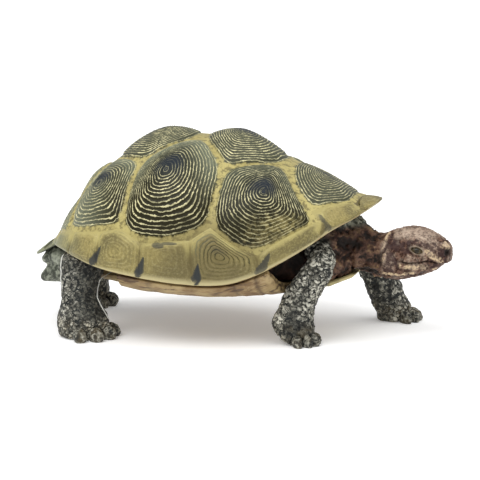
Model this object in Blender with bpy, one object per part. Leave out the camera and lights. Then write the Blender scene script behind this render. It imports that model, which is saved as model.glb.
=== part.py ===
"""A toy tortoise figurine, modelled as the moulded plastic model it is.

The tortoise walks: its right hind leg stands under the shell, the left one trails behind, the
right fore leg slants back from the elbow onto its toes and the left one reaches forward.
Sizes below are millimetres.  +X is forward (the head), +Y the animal's left, +Z up, and the
soles stand on Z = 0.
"""

import math

import bmesh
import bpy
from mathutils import Vector

MM = 0.001
GAP = 0.3                      # clear gap left between neighbouring pieces
SOCKET_GAP = 0.45              # gap round a limb where it enters the trunk
CENTRE_X = 9.05                # middle of the whole length, which becomes X = 0

# ---------------------------------------------------------------- shell, the named sizes
SHELL_FRONT = 57.0             # tip of the nuchal beak
SHELL_REAR = -52.5             # back of the oval rim
TONGUE_REAR = -62.5            # tip of the flared scute over the tail
TONGUE_HALF_WIDTH = 9.0
WIDEST_X = -6.0
SHELL_HALF_WIDTH = 40.0
SHELL_THICKNESS = 2.3

# Height of the lower rim and of the ridge line, along the length: (x, z).
RIM_LINE = [(-62.5, 22.3), (-56, 25.5), (-50, 28.4), (-43, 28.8), (-37, 27.5), (-31, 26.0),
            (-14, 23.3), (0, 21.8), (9, 21.5), (16, 22.1), (24, 24.8), (33, 29.7), (40, 34.2),
            (45, 37.8), (51, 41.0), (57, 44.9)]
RIDGE_LINE = [(-62.5, 22.6), (-58, 25.8), (-54.5, 29.0), (-50.3, 34.2), (-45.5, 42.8),
              (-40, 50.0), (-34, 55.2), (-17, 62.8), (-2.5, 65.0), (8, 63.6), (17, 60.9),
              (27.8, 56.8), (42, 49.6), (51, 45.8), (57, 45.1)]
# How full the cross-section is: 2 is an ellipse, less is leaner.
FULLNESS_LINE = [(-62.5, 1.5), (-55, 1.35), (-47, 1.25), (-40, 1.42), (-30, 1.7), (-20, 1.9),
                 (57, 1.9)]

# ---------------------------------------------------------------- scutes
# Corners of the scutes on the right half, as (x, angle): 0 degrees is the ridge of the back
# and 90 degrees the rim.
CORNERS = {
    "nuchal_top": (50.5, 0), "nuchal_side": (50.5, 34),
    "v12_mid": (27.9, 0), "v12_end": (26.8, 16),
    "v23_mid": (-2.3, 0), "v23_end": (-0.8, 10),
    "v34_mid": (-34.0, 0), "v34_end": (-32.5, 13),
    "v45_mid": (-47.5, 0), "v45_end": (-47.5, 15),
    "v5_back": (-55.5, 0), "v5_corner": (-54.5, 32),
    "v1_c1": (38.8, 54), "v2_side": (10.3, 33), "v3_side": (-18.2, 29), "v4_side": (-41.5, 27),
    "v5_side": (-50.8, 40),
    "c1_front": (41.4, 67), "c1_low": (24.4, 80), "c12_low": (9.5, 66),
    "c2_m34": (3.5, 72.5), "c2_low": (-12.5, 75), "c23_low": (-20.0, 67.5),
    "c3_m56": (-27.5, 68), "c3_m67": (-38.5, 66), "c34_low": (-42.0, 62),
    "c4_m78": (-47.8, 60),
    "rim_0": (54.8, 90), "rim_1": (43.0, 90), "rim_2": (24.4, 90), "rim_3": (4.9, 90),
    "rim_4": (-12.8, 90), "rim_5": (-28.0, 90), "rim_6": (-40.0, 90), "rim_7": (-48.5, 90),
    "rim_8": (-54.0, 90),
    "beak": (57.0, 90), "tail_tip": (-62.5, 90),
}
# Scutes of the back: corners of the right half, the umbo (x, angle) and how far it rises.
VERTEBRALS = {
    "vertebral_1": (["nuchal_top", "nuchal_side", "v1_c1", "v12_end", "v12_mid"],
                    (38.0, 0), 1.2),
    "vertebral_2": (["v12_mid", "v12_end", "v2_side", "v23_end", "v23_mid"], (10.0, -3), 3.7),
    "vertebral_3": (["v23_mid", "v23_end", "v3_side", "v34_end", "v34_mid"], (-15.0, -3), 3.7),
    "vertebral_4": (["v34_mid", "v34_end", "v4_side", "v45_end", "v45_mid"], (-40.0, 0), 1.1),
    "vertebral_5": (["v45_mid", "v45_end", "v5_side", "v5_corner", "v5_back"], (-50.5, 0), 0.8),
    "nuchal": (["nuchal_top", "nuchal_side", "rim_0", "beak"], (53.5, 0), 0.2),
    "supracaudal": (["v5_back", "v5_corner", "rim_8", "tail_tip"], (-57.5, 0), 0.3),
}
# Scutes that come in pairs, one each side.
PAIRED = {
    "costal_1": (["v2_side", "v12_end", "v1_c1", "c1_front", "c1_low", "c12_low"],
                 (23.8, 46.5), 2.8),
    "costal_2": (["v3_side", "v23_end", "v2_side", "c12_low", "c2_m34", "c2_low", "c23_low"],
                 (-7.0, 37), 3.2),
    "costal_3": (["v34_end", "v3_side", "c23_low", "c3_m56", "c3_m67", "c34_low", "v4_side"],
                 (-31.0, 39), 1.7),
    "costal_4": (["v4_side", "c34_low", "c4_m78", "v5_side", "v45_end"], (-46.0, 42), 0.6),
    "marginal_1": (["nuchal_side", "v1_c1", "c1_front", "rim_1", "rim_0"], (47.0, 68), 0.2),
    "marginal_2": (["c1_front", "c1_low", "rim_2", "rim_1"], (35.0, 83), 0.2),
    "marginal_3": (["c1_low", "c12_low", "c2_m34", "rim_3", "rim_2"], (13.0, 78), 0.7),
    "marginal_4": (["c2_m34", "c2_low", "rim_4", "rim_3"], (-4.0, 79), 0.5),
    "marginal_5": (["c2_low", "c23_low", "c3_m56", "rim_5", "rim_4"], (-20.5, 78), 0.7),
    "marginal_6": (["c3_m56", "c3_m67", "rim_6", "rim_5"], (-33.5, 78), 0.5),
    "marginal_7": (["c3_m67", "c34_low", "c4_m78", "rim_7", "rim_6"], (-43.8, 76), 0.4),
    "marginal_8": (["c4_m78", "v5_side", "v5_corner", "rim_8", "rim_7"], (-51.2, 70), 0.3),
}
SEAM_DEPTH = 0.45              # depth of the grooves between scutes
DOMING = 1.5                   # how rounded a scute's swelling is; 1 is a plain cone
CORNER_ROUNDING = 5.0          # larger follows the scute's outline more sharply
EDGE_STEP = 6.0                # spacing of points along a seam
# Loops of points between a scute's seam and its umbo, as shares of the way out.
TALL_RISE = 2.0
TALL_LEVELS = [0.93, 0.62, 0.28]
BACK_LEVELS = [0.9, 0.5]
FLANK_LEVELS = [0.92, 0.5]
RIM_LEVELS = [0.88]

# ---------------------------------------------------------------- plastron
PLASTRON_LINE = [(-49, 19.6), (-40, 18.0), (-27, 16.7), (-15, 15.3), (0, 14.7), (15, 14.8),
                 (30, 15.7), (42, 17.3), (49.5, 20.2)]
LOBE_WIDTH_LINE = [(-49, 8), (-44, 12), (-37, 14), (-30, 17), (30, 16), (40, 12.5),
                   (46, 8.5), (50, 5.0)]
PLASTRON_REAR, PLASTRON_FRONT = -46.5, 49.5
THICKNESS_LINE = [(-49, 1.6), (-38, 2.6), (36, 2.6), (46, 1.5), (50, 1.3)]
BRIDGE_REAR, BRIDGE_FRONT = -24.0, 30.8
BRIDGE_BLEND = 3.6             # length over which a bridge narrows to the lobe
BRIDGE_CURVE = 4.5             # larger keeps the plastron flat further out
BRIDGE_INSET = 0.9             # how far the bridges stay inside the rim
RIM_DROP = 1.5                 # the plastron meets the bridge this far below the rim

# ---------------------------------------------------------------- flesh
TRUNK_REAR, TRUNK_FRONT = -49.0, 48.5
# Half width of the trunk along the length, narrow where the legs come out.
TRUNK_WIDTH_LINE = [(-49, 6), (-44, 13), (-36, 15.5), (-26, 21), (-15, 31),
                    (5, 32), (18, 26), (28, 18), (36, 14), (43, 13), (48.5, 9)]
# Neck, rump and tail as stations: (x, y, z, half depth, half width).
NECK = [(42.0, 0, 31.5, 8.0, 8.0), (48.0, 0, 31.6, 9.0, 8.2), (50.2, 0, 30.6, 8.6, 7.8),
        (52.4, 0, 28.9, 7.6, 7.2), (55.0, 0, 27.5, 6.9, 6.8), (58.6, 0, 26.9, 6.8, 6.7)]
RUMP = [(-47.6, 0, 24.2, 2.8, 6.8), (-51.5, 0, 23.3, 3.1, 6.4), (-56.8, 0, 21.6, 2.35, 5.4),
        (-60.2, 0, 21.0, 0.95, 3.8)]
TAIL = [(-48.8, 0, 17.6, 4.6, 5.2), (-53.0, 0, 16.9, 4.1, 4.8), (-57.0, 0, 15.9, 3.3, 4.0),
        (-61.0, 0, 13.8, 1.25, 2.8)]
TAIL_ROOT = (-44.0, 0, 18.0, 4.6, 5.2)

# Head sections along X: (x, top z, bottom z, half width, z of the widest place).
HEAD = [(58.2, 33.8, 19.9, 6.6, 26.5), (61.0, 35.2, 19.5, 7.5, 27.0),
        (64.5, 36.4, 19.6, 8.1, 27.8), (68.5, 36.8, 20.4, 8.2, 28.6),
        (72.5, 36.1, 21.8, 7.4, 28.8), (76.0, 34.4, 23.4, 5.9, 28.6),
        (78.6, 32.4, 24.9, 4.2, 28.6), (80.0, 30.8, 26.4, 2.5, 28.7)]
HEAD_TIP = (80.6, 28.8)
MOUTH_HEIGHT = 26.2
MOUTH_CORNER_X = 64.8
JAW_SLOPE = 6.0                # how far back the division runs below the mouth's corner
JAW_REACH = 95.0               # the slab that divides off the jaw ends ahead of the snout,
JAW_DEPTH = 5.0                # below the chin
JAW_SPAN = 30.0                # and beyond both cheeks
EYE_CENTRE = (69.9, 5.9, 29.6)
EYE_RADIUS = 2.1

# Each leg: the thigh or upper arm, the shank or forearm, then the foot.
# "rings" of a foot run down from the ankle: (x, y, z, half depth, half width, pitch degrees).
LEGS = {
    "front_right": dict(
        upper=[(33.5, -8.0, 31.5, 4.0, 4.4), (39.5, -14.0, 29.6, 3.8, 4.2),
               (42.3, -18.5, 27.4, 3.8, 4.0)],
        lower=[(42.6, -19.6, 28.4, 3.4, 3.6), (41.4, -20.0, 25.6, 4.5, 4.5),
               (39.2, -20.3, 22.2, 4.6, 4.5), (36.4, -20.4, 17.8, 5.0, 4.7),
               (33.6, -20.0, 12.6, 5.5, 5.0)],
        rings=[(33.6, -20.0, 12.2, 5.6, 5.1, 2), (33.2, -19.8, 9.4, 5.9, 5.3, 8),
               (32.6, -19.4, 6.2, 6.9, 5.4, 18), (32.7, -19.0, 2.8, 7.3, 5.3, 24),
               (33.4, -19.0, 0.6, 6.2, 4.6, 24)],
        heading=-12, toe_reach=6.5, toe_count=5, toe_spread=30, toe_side=5.4,
        toe=(2.7, 1.4, 2.3)),
    "front_left": dict(
        upper=[(31.0, 8.0, 30.0, 5.0, 5.0), (40.0, 15.5, 27.5, 5.0, 5.0),
               (45.5, 21.0, 23.0, 5.2, 5.2)],
        lower=[(46.6, 22.0, 24.6, 4.6, 4.6), (49.4, 24.0, 20.8, 5.7, 5.2),
               (51.8, 25.5, 16.2, 5.6, 5.2), (53.3, 26.3, 11.6, 5.7, 5.1),
               (54.8, 26.6, 8.8, 6.0, 5.2)],
        rings=[(55.0, 26.6, 8.4, 6.4, 5.3, 0), (56.4, 26.8, 5.4, 6.5, 5.5, 0),
               (57.8, 26.9, 2.6, 6.3, 5.5, 0), (57.8, 27.0, -0.8, 5.9, 5.1, 0)],
        heading=10, toe_reach=6.6, toe_count=5, toe_spread=30, toe_side=6.2,
        toe=(2.8, 1.45, 2.4)),
    "hind_right": dict(
        upper=[(-28.0, -9.0, 28.0, 5.6, 5.6), (-33.0, -15.0, 27.0, 5.6, 5.6),
               (-36.0, -20.0, 25.4, 5.4, 5.0)],
        lower=[(-36.6, -22.4, 27.4, 4.8, 4.2), (-37.4, -23.0, 24.6, 7.4, 5.8),
               (-38.3, -23.8, 20.0, 6.8, 5.9), (-38.4, -24.4, 15.4, 5.8, 5.8),
               (-37.8, -25.0, 10.8, 6.6, 6.4)],
        rings=[(-37.7, -25.0, 10.4, 6.8, 6.5, 0), (-37.0, -25.2, 7.4, 8.8, 7.5, 0),
               (-36.8, -25.4, 4.4, 9.7, 8.0, 0), (-36.6, -25.4, 1.6, 9.4, 7.9, 0),
               (-36.4, -25.4, -0.8, 8.4, 7.1, 0)],
        heading=-30, toe_reach=9.2, toe_count=4, toe_spread=33, toe_side=8.6,
        toe=(3.2, 2.3, 2.6)),
    "hind_left": dict(
        upper=[(-28.0, 9.0, 29.0, 5.4, 5.4), (-35.5, 15.5, 28.4, 5.4, 5.4),
               (-41.0, 20.0, 26.0, 5.0, 5.0)],
        lower=[(-42.6, 20.6, 25.0, 4.6, 4.2), (-44.2, 21.6, 21.8, 6.4, 5.6),
               (-47.4, 23.0, 17.4, 6.4, 5.6), (-50.6, 24.2, 13.4, 6.2, 5.6),
               (-52.6, 24.8, 9.8, 6.4, 5.8)],
        rings=[(-52.8, 24.8, 9.4, 6.5, 5.8, 0), (-53.0, 25.0, 6.4, 7.0, 6.4, 0),
               (-53.0, 25.1, 3.6, 7.2, 6.7, 0), (-52.9, 25.1, -0.8, 6.8, 6.3, 0)],
        heading=14, toe_reach=7.6, toe_count=4, toe_spread=34, toe_side=7.4,
        toe=(2.9, 1.9, 2.5)),
}
LIMB_SIDES = 10
FOOT_SIDES = 12

SKIN_GREY = ("leg_grey_paint", (0.075, 0.085, 0.085, 1), 0.55)
HEAD_BROWN = ("head_brown_paint", (0.13, 0.062, 0.04, 1), 0.5)
SHELL_OLIVE = ("shell_olive_paint", (0.26, 0.23, 0.08, 1), 0.42)
PLASTRON_TAN = ("plastron_tan_paint", (0.33, 0.2, 0.1, 1), 0.5)
EYE_DARK = ("eye_gloss_paint", (0.02, 0.02, 0.012, 1), 0.2)
TOE_DARK = ("toe_dark_paint", (0.05, 0.05, 0.047, 1), 0.5)


# ================================================================= small tools
def smooth_line(x, points):
    """A smooth curve through (position, value) points, held at its ends."""
    positions = [p[0] for p in points]
    values = [p[1] for p in points]
    if x <= positions[0]:
        return values[0]
    if x >= positions[-1]:
        return values[-1]
    spans = [b - a for a, b in zip(positions, positions[1:])]
    slopes = [(b - a) / h for a, b, h in zip(values, values[1:], spans)]
    tangents = [slopes[0]]
    for i in range(1, len(spans)):
        weighted = spans[i] * slopes[i - 1] + spans[i - 1] * slopes[i]
        tangents.append(weighted / (spans[i] + spans[i - 1]))
    tangents.append(slopes[-1])
    i = max(k for k in range(len(spans)) if positions[k] <= x)
    t = (x - positions[i]) / spans[i]
    return ((1 + 2 * t) * (1 - t) ** 2 * values[i]
            + t * (1 - t) ** 2 * spans[i] * tangents[i]
            + t * t * (3 - 2 * t) * values[i + 1]
            + t * t * (t - 1) * spans[i] * tangents[i + 1])


def smooth_step(t):
    """0 below 0, 1 above 1, smooth between."""
    t = min(1.0, max(0.0, t))
    return t * t * (3 - 2 * t)


def power(value, exponent):
    """A power that keeps the value's sign."""
    return math.copysign(abs(value) ** exponent, value)


def material_for(paint):
    """The material of one paint: name, colour and roughness."""
    name, colour, roughness = paint
    material = bpy.data.materials.get(name) or bpy.data.materials.new(name)
    material.use_nodes = True
    shader = material.node_tree.nodes["Principled BSDF"]
    shader.inputs["Base Color"].default_value = colour
    shader.inputs["Roughness"].default_value = roughness
    shader.inputs["Metallic"].default_value = 0.0
    material.diffuse_color = colour
    return material


def make_solid(name, points, faces, paint, collection, floor=False):
    """A closed body from points in millimetres; floor=True cuts it flat at Z = 0."""
    mesh = bpy.data.meshes.new(name)
    shifted = [((x - CENTRE_X) * MM, y * MM, z * MM) for x, y, z in points]
    mesh.from_pydata(shifted, [], faces)
    work = bmesh.new()
    work.from_mesh(mesh)
    bmesh.ops.remove_doubles(work, verts=work.verts, dist=0.00001)
    if floor:
        geometry = work.verts[:] + work.edges[:] + work.faces[:]
        cut = bmesh.ops.bisect_plane(work, geom=geometry, plane_co=(0, 0, 0),
                                     plane_no=(0, 0, 1), clear_inner=True)
        rim = [e for e in cut["geom_cut"] if isinstance(e, bmesh.types.BMEdge)]
        bmesh.ops.contextual_create(work, geom=rim)
    bmesh.ops.recalc_face_normals(work, faces=work.faces)
    bmesh.ops.triangulate(work, faces=work.faces)
    work.to_mesh(mesh)
    work.free()
    body = bpy.data.objects.new(name, mesh)
    collection.objects.link(body)
    if paint:
        mesh.materials.append(material_for(paint))
    return body


def cut_away(body, cutter, operation="DIFFERENCE"):
    """Boolean one cutter into a body."""
    modifier = body.modifiers.new("cut_" + cutter.name, "BOOLEAN")
    modifier.object = cutter
    modifier.operation = operation
    modifier.solver = "EXACT"


def skin_rings(rings, first_cap=None, last_cap=None):
    """Points and faces joining rings of equal size, closed by a point or a flat end."""
    points = [p for ring in rings for p in ring]
    sides = len(rings[0])
    faces = []
    for r in range(len(rings) - 1):
        for s in range(sides):
            a = r * sides + s
            b = r * sides + (s + 1) % sides
            faces.append((a, b, b + sides, a + sides))
    for cap, start in ((first_cap, 0), (last_cap, (len(rings) - 1) * sides)):
        loop = [start + s for s in range(sides)]
        if cap is None:
            faces.append(tuple(loop))
        else:
            points.append(cap)
            top = len(points) - 1
            faces += [(loop[s], loop[(s + 1) % sides], top) for s in range(sides)]
    return points, faces


# ================================================================= shell surface
def half_width(x, inset=0.0):
    """Half width of the rim in plan: an oval with a narrow tongue over the tail."""
    if x > WIDEST_X:
        along = (x - WIDEST_X) / (SHELL_FRONT - inset - WIDEST_X)
        oval = max(0.0, 1 - min(1.0, along) ** 2.0) ** (1 / 1.9)
    else:
        along = (x - WIDEST_X) / (SHELL_REAR + inset - WIDEST_X)
        oval = max(0.0, 1 - min(1.0, along) ** 2.4) ** (1 / 2.2)
    oval *= SHELL_HALF_WIDTH - inset
    tongue = 0.0
    if x < WIDEST_X:
        reach = TONGUE_REAR + inset
        back = max(0.0, (x - SHELL_REAR - 4) / (reach - SHELL_REAR - 4))
        tongue = (TONGUE_HALF_WIDTH - inset) * max(0.0, 1 - min(1.0, back) ** 2) ** 0.5
    return (oval ** 5 + tongue ** 5) ** 0.2


def dome_point(x, angle, inset=0.0):
    """Point of the shell at length x, angle degrees down from the ridge (right side < 0)."""
    turn = math.radians(angle)
    exponent = 2.0 / smooth_line(x, FULLNESS_LINE)
    y = half_width(x, inset) * power(math.sin(turn), exponent)
    rim = smooth_line(x, RIM_LINE)
    ridge = smooth_line(x, RIDGE_LINE) - inset
    z = rim + max(0.0, ridge - rim) * max(0.0, math.cos(turn)) ** exponent
    return Vector((x, y, z))


def dome_normal(x, angle):
    """Outward direction of the shell surface."""
    x = min(SHELL_FRONT - 1.0, max(TONGUE_REAR + 1.0, x))
    angle = min(86.0, max(-86.0, angle))
    along = dome_point(x + 0.4, angle) - dome_point(x - 0.4, angle)
    around = dome_point(x, angle + 1.5) - dome_point(x, angle - 1.5)
    normal = along.cross(around)
    if normal.length < 1e-6:
        return Vector((0, 0, 1))
    normal.normalize()
    middle = Vector((WIDEST_X, 0, 25.0))
    return normal if normal.dot(dome_point(x, angle) - middle) > 0 else -normal


def seam_points(corners):
    """Points along a scute's outline, spaced evenly along every seam."""
    outline = []
    for (xa, aa), (xb, ab) in zip(corners, corners[1:] + corners[:1]):
        samples = [dome_point(xa + (xb - xa) * k / 8, aa + (ab - aa) * k / 8) for k in range(9)]
        length = sum((q - p).length for p, q in zip(samples, samples[1:]))
        steps = max(1, round(length / EDGE_STEP))
        for k in range(steps):
            outline.append((xa + (xb - xa) * k / steps, aa + (ab - aa) * k / steps))
    return outline


def outline_ratio(point, centre, corners):
    """1 on the scute's rounded outline, 0 at its umbo, growing evenly between."""
    total = 0.0
    for (xa, aa), (xb, ab) in zip(corners, corners[1:] + corners[:1]):
        nx, na = ab - aa, xa - xb
        reach = (xa - centre[0]) * nx + (aa - centre[1]) * na
        part = (point[0] - centre[0]) * nx + (point[1] - centre[1]) * na
        if abs(reach) > 1e-6:
            total += max(0.0, part / reach) ** CORNER_ROUNDING
    return total ** (1 / CORNER_ROUNDING)


def raised_point(x, angle, rise):
    """A point standing above the plain dome."""
    foot = dome_point(x, angle)
    if rise <= 0:
        return foot
    return foot + dome_normal(x, angle) * rise


def scute_loops(corners, umbo, rise, levels):
    """One scute: nested loops from its seam up to the umbo."""
    outline = seam_points(corners)
    ratios = [outline_ratio(p, umbo, corners) for p in outline]
    loops = [[dome_point(x, a) for x, a in outline]]
    for level in levels:
        height = SEAM_DEPTH + rise * (1 - level ** DOMING)
        loop = []
        for (x, angle), ratio in zip(outline, ratios):
            t = level / ratio
            px = umbo[0] + (x - umbo[0]) * t
            pa = umbo[1] + (angle - umbo[1]) * t
            lift = height * min(1.0, (90 - abs(pa)) / 6)
            loop.append(raised_point(px, pa, lift))
        loops.append(loop)
    top = raised_point(umbo[0], umbo[1], SEAM_DEPTH + rise)
    return loops, top


def mirrored(corners):
    """The same outline on the other flank."""
    return [(x, -a) for x, a in reversed(corners)]


def whole_outline(names):
    """Corners of a middle scute, from its right half."""
    right = [CORNERS[n] for n in names]
    return right + [(x, -a) for x, a in reversed(right) if a != 0]


def all_scutes():
    """Every scute of the shell as (corners, umbo, rise, loop levels)."""
    scutes = []
    for names, umbo, rise in VERTEBRALS.values():
        levels = TALL_LEVELS if rise > TALL_RISE else BACK_LEVELS
        scutes.append((whole_outline(names), umbo, rise, levels))
    for label, (names, umbo, rise) in PAIRED.items():
        corners = [CORNERS[n] for n in names]
        levels = FLANK_LEVELS if label.startswith("costal") else RIM_LEVELS
        if rise > TALL_RISE:
            levels = TALL_LEVELS
        scutes.append((corners, umbo, rise, levels))
        scutes.append((mirrored(corners), (umbo[0], -umbo[1]), rise, levels))
    return scutes


def build_carapace(collection, cutters):
    """The domed upper shell: raised scutes outside, a hollow inside."""
    points, faces = [], []

    def add(point):
        points.append(tuple(point))
        return len(points) - 1

    for corners, umbo, rise, levels in all_scutes():
        loops, top = scute_loops(corners, umbo, rise, levels)
        rows = [[add(p) for p in loop] for loop in loops]
        count = len(rows[0])
        for outer, inner in zip(rows, rows[1:]):
            for i in range(count):
                j = (i + 1) % count
                faces.append((outer[i], outer[j], inner[j], inner[i]))
        peak = add(top)
        last = rows[-1]
        faces += [(last[i], last[(i + 1) % count], peak) for i in range(count)]
    # close the underside with strips straight across, rim to rim
    rim_x = rim_positions()
    right = [add(dome_point(x, -90)) for x in rim_x]
    left = [add(dome_point(x, 90)) for x in rim_x]
    for i in range(len(rim_x) - 1):
        faces.append((right[i], right[i + 1], left[i + 1], left[i]))
    body = make_solid("carapace", points, faces, SHELL_OLIVE, collection)
    hollow_points, hollow_faces = cavity_shape(SHELL_THICKNESS, 14, 8)
    hollow = make_solid("hollow", hollow_points, hollow_faces, None, cutters)
    cut_away(body, hollow)
    return body


def rim_positions():
    """x of every point along the rim, the same points the marginal scutes use."""
    names = ["beak", "rim_0", "rim_1", "rim_2", "rim_3", "rim_4", "rim_5", "rim_6", "rim_7",
             "rim_8", "tail_tip"]
    corners = [CORNERS[n] for n in names]
    xs = []
    for pair in zip(corners, corners[1:]):
        (xa, aa), (xb, ab) = pair
        samples = [dome_point(xa + (xb - xa) * k / 8, aa) for k in range(9)]
        length = sum((q - p).length for p, q in zip(samples, samples[1:]))
        steps = max(1, round(length / EDGE_STEP))
        xs += [xa + (xb - xa) * k / steps for k in range(steps)]
    return xs + [corners[-1][0]]


def cavity_shape(inset, stations, sides):
    """The room inside the shell, open below: sections along X with a flat lower side."""
    rear = SHELL_REAR + inset + 0.5
    front = SHELL_FRONT - inset - 3.0
    rings = []
    for k in range(stations + 1):
        blend = 0.5 - 0.5 * math.cos(math.pi * (0.06 + 0.88 * k / stations))
        x = rear + (front - rear) * blend
        ring = [dome_point(x, -90 + 180 * s / sides, inset) for s in range(sides + 1)]
        rim = ring[0].z
        ring.append(Vector((x, ring[-1].y, rim - 14.0)))
        ring.append(Vector((x, ring[0].y, rim - 14.0)))
        rings.append(ring)
    return skin_rings(rings)


# ================================================================= plastron and trunk
def bridge_share(x):
    """1 where the plastron reaches the rim, 0 where legs come out."""
    front = smooth_step((BRIDGE_FRONT - x) / BRIDGE_BLEND)
    rear = smooth_step((x - BRIDGE_REAR) / BRIDGE_BLEND)
    return front * rear


def plastron_half_width(x):
    """Half width of the plastron: narrow lobes and broad bridges."""
    lobe = smooth_line(x, LOBE_WIDTH_LINE)
    bridge = half_width(x) - BRIDGE_INSET
    return lobe + (bridge - lobe) * bridge_share(x)


def plastron_low(x, y):
    """Height of the plastron's underside."""
    middle = smooth_line(x, PLASTRON_LINE)
    rim = smooth_line(x, RIM_LINE) - RIM_DROP
    share = min(1.0, abs(y) / half_width(x))
    return middle + max(0.0, rim - middle) * share ** BRIDGE_CURVE


def plastron_high(x, y):
    """Height of the plastron's upper side, which stays below the rim."""
    lip = smooth_line(x, RIM_LINE) - SOCKET_GAP
    return min(plastron_low(x, y) + smooth_line(x, THICKNESS_LINE), lip)


def build_plastron(collection):
    """The flat lower shell with its bridges up to the rim."""
    stations, across = 16, 8
    points, faces = [], []
    for k in range(stations + 1):
        x = PLASTRON_REAR + (PLASTRON_FRONT - PLASTRON_REAR) * k / stations
        reach = plastron_half_width(x)
        for height in (plastron_low, plastron_high):
            for s in range(across + 1):
                y = reach * math.sin(math.pi / 2 * (2 * s / across - 1))
                points.append((x, y, height(x, y)))
    row = 2 * (across + 1)
    for k in range(stations):
        a = k * row
        b = a + row
        for s in range(across):
            faces.append((a + s, a + s + 1, b + s + 1, b + s))
            c, d = a + across + 1, b + across + 1
            faces.append((c + s, c + s + 1, d + s + 1, d + s))
        for s in (0, across):
            faces.append((a + s, b + s, b + across + 1 + s, a + across + 1 + s))
    for start in (0, stations * row):
        for s in range(across):
            high = start + across + 1
            faces.append((start + s, start + s + 1, high + s + 1, high + s))
    return make_solid("plastron", points, faces, PLASTRON_TAN, collection)


def build_trunk(collection):
    """The body inside the shell, seen in the openings for neck, legs and tail."""
    inset = SHELL_THICKNESS + GAP + 0.5
    stations, upper_sides, lower_sides = 12, 6, 7
    rings = []
    for k in range(stations + 1):
        blend = 0.5 - 0.5 * math.cos(math.pi * (0.04 + 0.92 * k / stations))
        x = TRUNK_REAR + (TRUNK_FRONT - TRUNK_REAR) * blend
        rim = smooth_line(x, RIM_LINE) + 0.8
        crown = max(rim + 0.4, smooth_line(x, RIDGE_LINE) - inset - 0.4)
        width = min(half_width(x, inset) - 0.8, smooth_line(x, TRUNK_WIDTH_LINE))
        floor = plastron_high(x, 0) + GAP + 0.25
        exponent = 2.0 / smooth_line(x, FULLNESS_LINE)
        ring = []
        for s in range(upper_sides):
            turn = math.pi / 2 - math.pi * s / upper_sides
            y = -width * power(math.sin(turn), exponent)
            ring.append(Vector((x, y, rim + (crown - rim) * math.cos(turn) ** exponent)))
        for s in range(lower_sides):
            turn = math.pi / 2 - math.pi * s / lower_sides
            y = width * power(math.sin(turn), 0.7)
            z = rim - (rim - floor) * max(0.0, math.cos(turn)) ** 0.7
            if abs(y) < plastron_half_width(x) + 1.5:
                z = max(z, plastron_high(x, y) + GAP + 0.25)
            ring.append(Vector((x, y, min(z, rim))))
        rings.append(ring)
    points, faces = skin_rings(rings)
    return make_solid("trunk", points, faces, SKIN_GREY, collection)


# ================================================================= limbs
def stations_along(stations, count):
    """Even samples of a smooth path through the stations: (centre, tangent, depth, width)."""
    marks = [0.0]
    for a, b in zip(stations, stations[1:]):
        marks.append(marks[-1] + math.dist(a[:3], b[:3]))

    def at(distance):
        return [smooth_line(distance, [(m, s[i]) for m, s in zip(marks, stations)])
                for i in range(5)]

    samples = []
    total = marks[-1]
    for k in range(count + 1):
        distance = total * k / count
        values = at(distance)
        ahead = Vector(at(min(total, distance + 0.2))[:3])
        behind = Vector(at(max(0.0, distance - 0.2))[:3])
        samples.append((Vector(values[:3]), (ahead - behind).normalized(), values[3], values[4]))
    return samples


def limb_rings(stations, count, grow=0.0, upright=False):
    """Oval rings square to the path, or square to the length when upright."""
    rings = []
    for centre, tangent, depth, width in stations_along(stations, count):
        if upright:
            tangent = Vector((1, 0, 0))
        side = Vector((0, 1, 0)) - tangent * tangent.y
        side.normalize()
        fore = tangent.cross(side)
        ring = []
        for s in range(LIMB_SIDES):
            turn = 2 * math.pi * s / LIMB_SIDES
            ring.append(centre + side * (width + grow) * math.cos(turn)
                        + fore * (depth + grow) * math.sin(turn))
        rings.append(ring)
    return rings


def limb_body(name, stations, count, paint, collection, grow=0.0, upright=False,
              domed_start=0.0, domed_end=0.0):
    """A limb part; a domed end bulges by the given amount, else the end is flat."""
    rings = limb_rings(stations, count, grow, upright)
    caps = []
    for ring, nearest, dome in ((rings[0], rings[1], domed_start),
                                (rings[-1], rings[-2], domed_end)):
        if dome <= 0:
            caps.append(None)
            continue
        middle = sum(ring, Vector()) / len(ring)
        outward = (middle - sum(nearest, Vector()) / len(nearest)).normalized()
        caps.append(middle + outward * (dome + grow))
    points, faces = skin_rings(rings, caps[0], caps[1])
    return make_solid(name, points, faces, paint, collection)


def foot_rings(leg, grow=0.0):
    """Rings of a foot from the ankle down, each turned to the foot's heading."""
    heading = math.radians(leg["heading"])
    rings = []
    for x, y, z, depth, width, pitch in leg["rings"]:
        fore = Vector((math.cos(heading), math.sin(heading), -math.tan(math.radians(pitch))))
        side = Vector((-math.sin(heading), math.cos(heading), 0))
        ring = []
        for s in range(FOOT_SIDES):
            turn = 2 * math.pi * s / FOOT_SIDES
            ring.append(Vector((x, y, z + grow)) + fore * (depth + grow) * math.cos(turn)
                        + side * (width + grow) * math.sin(turn))
        rings.append(ring)
    return rings


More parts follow.
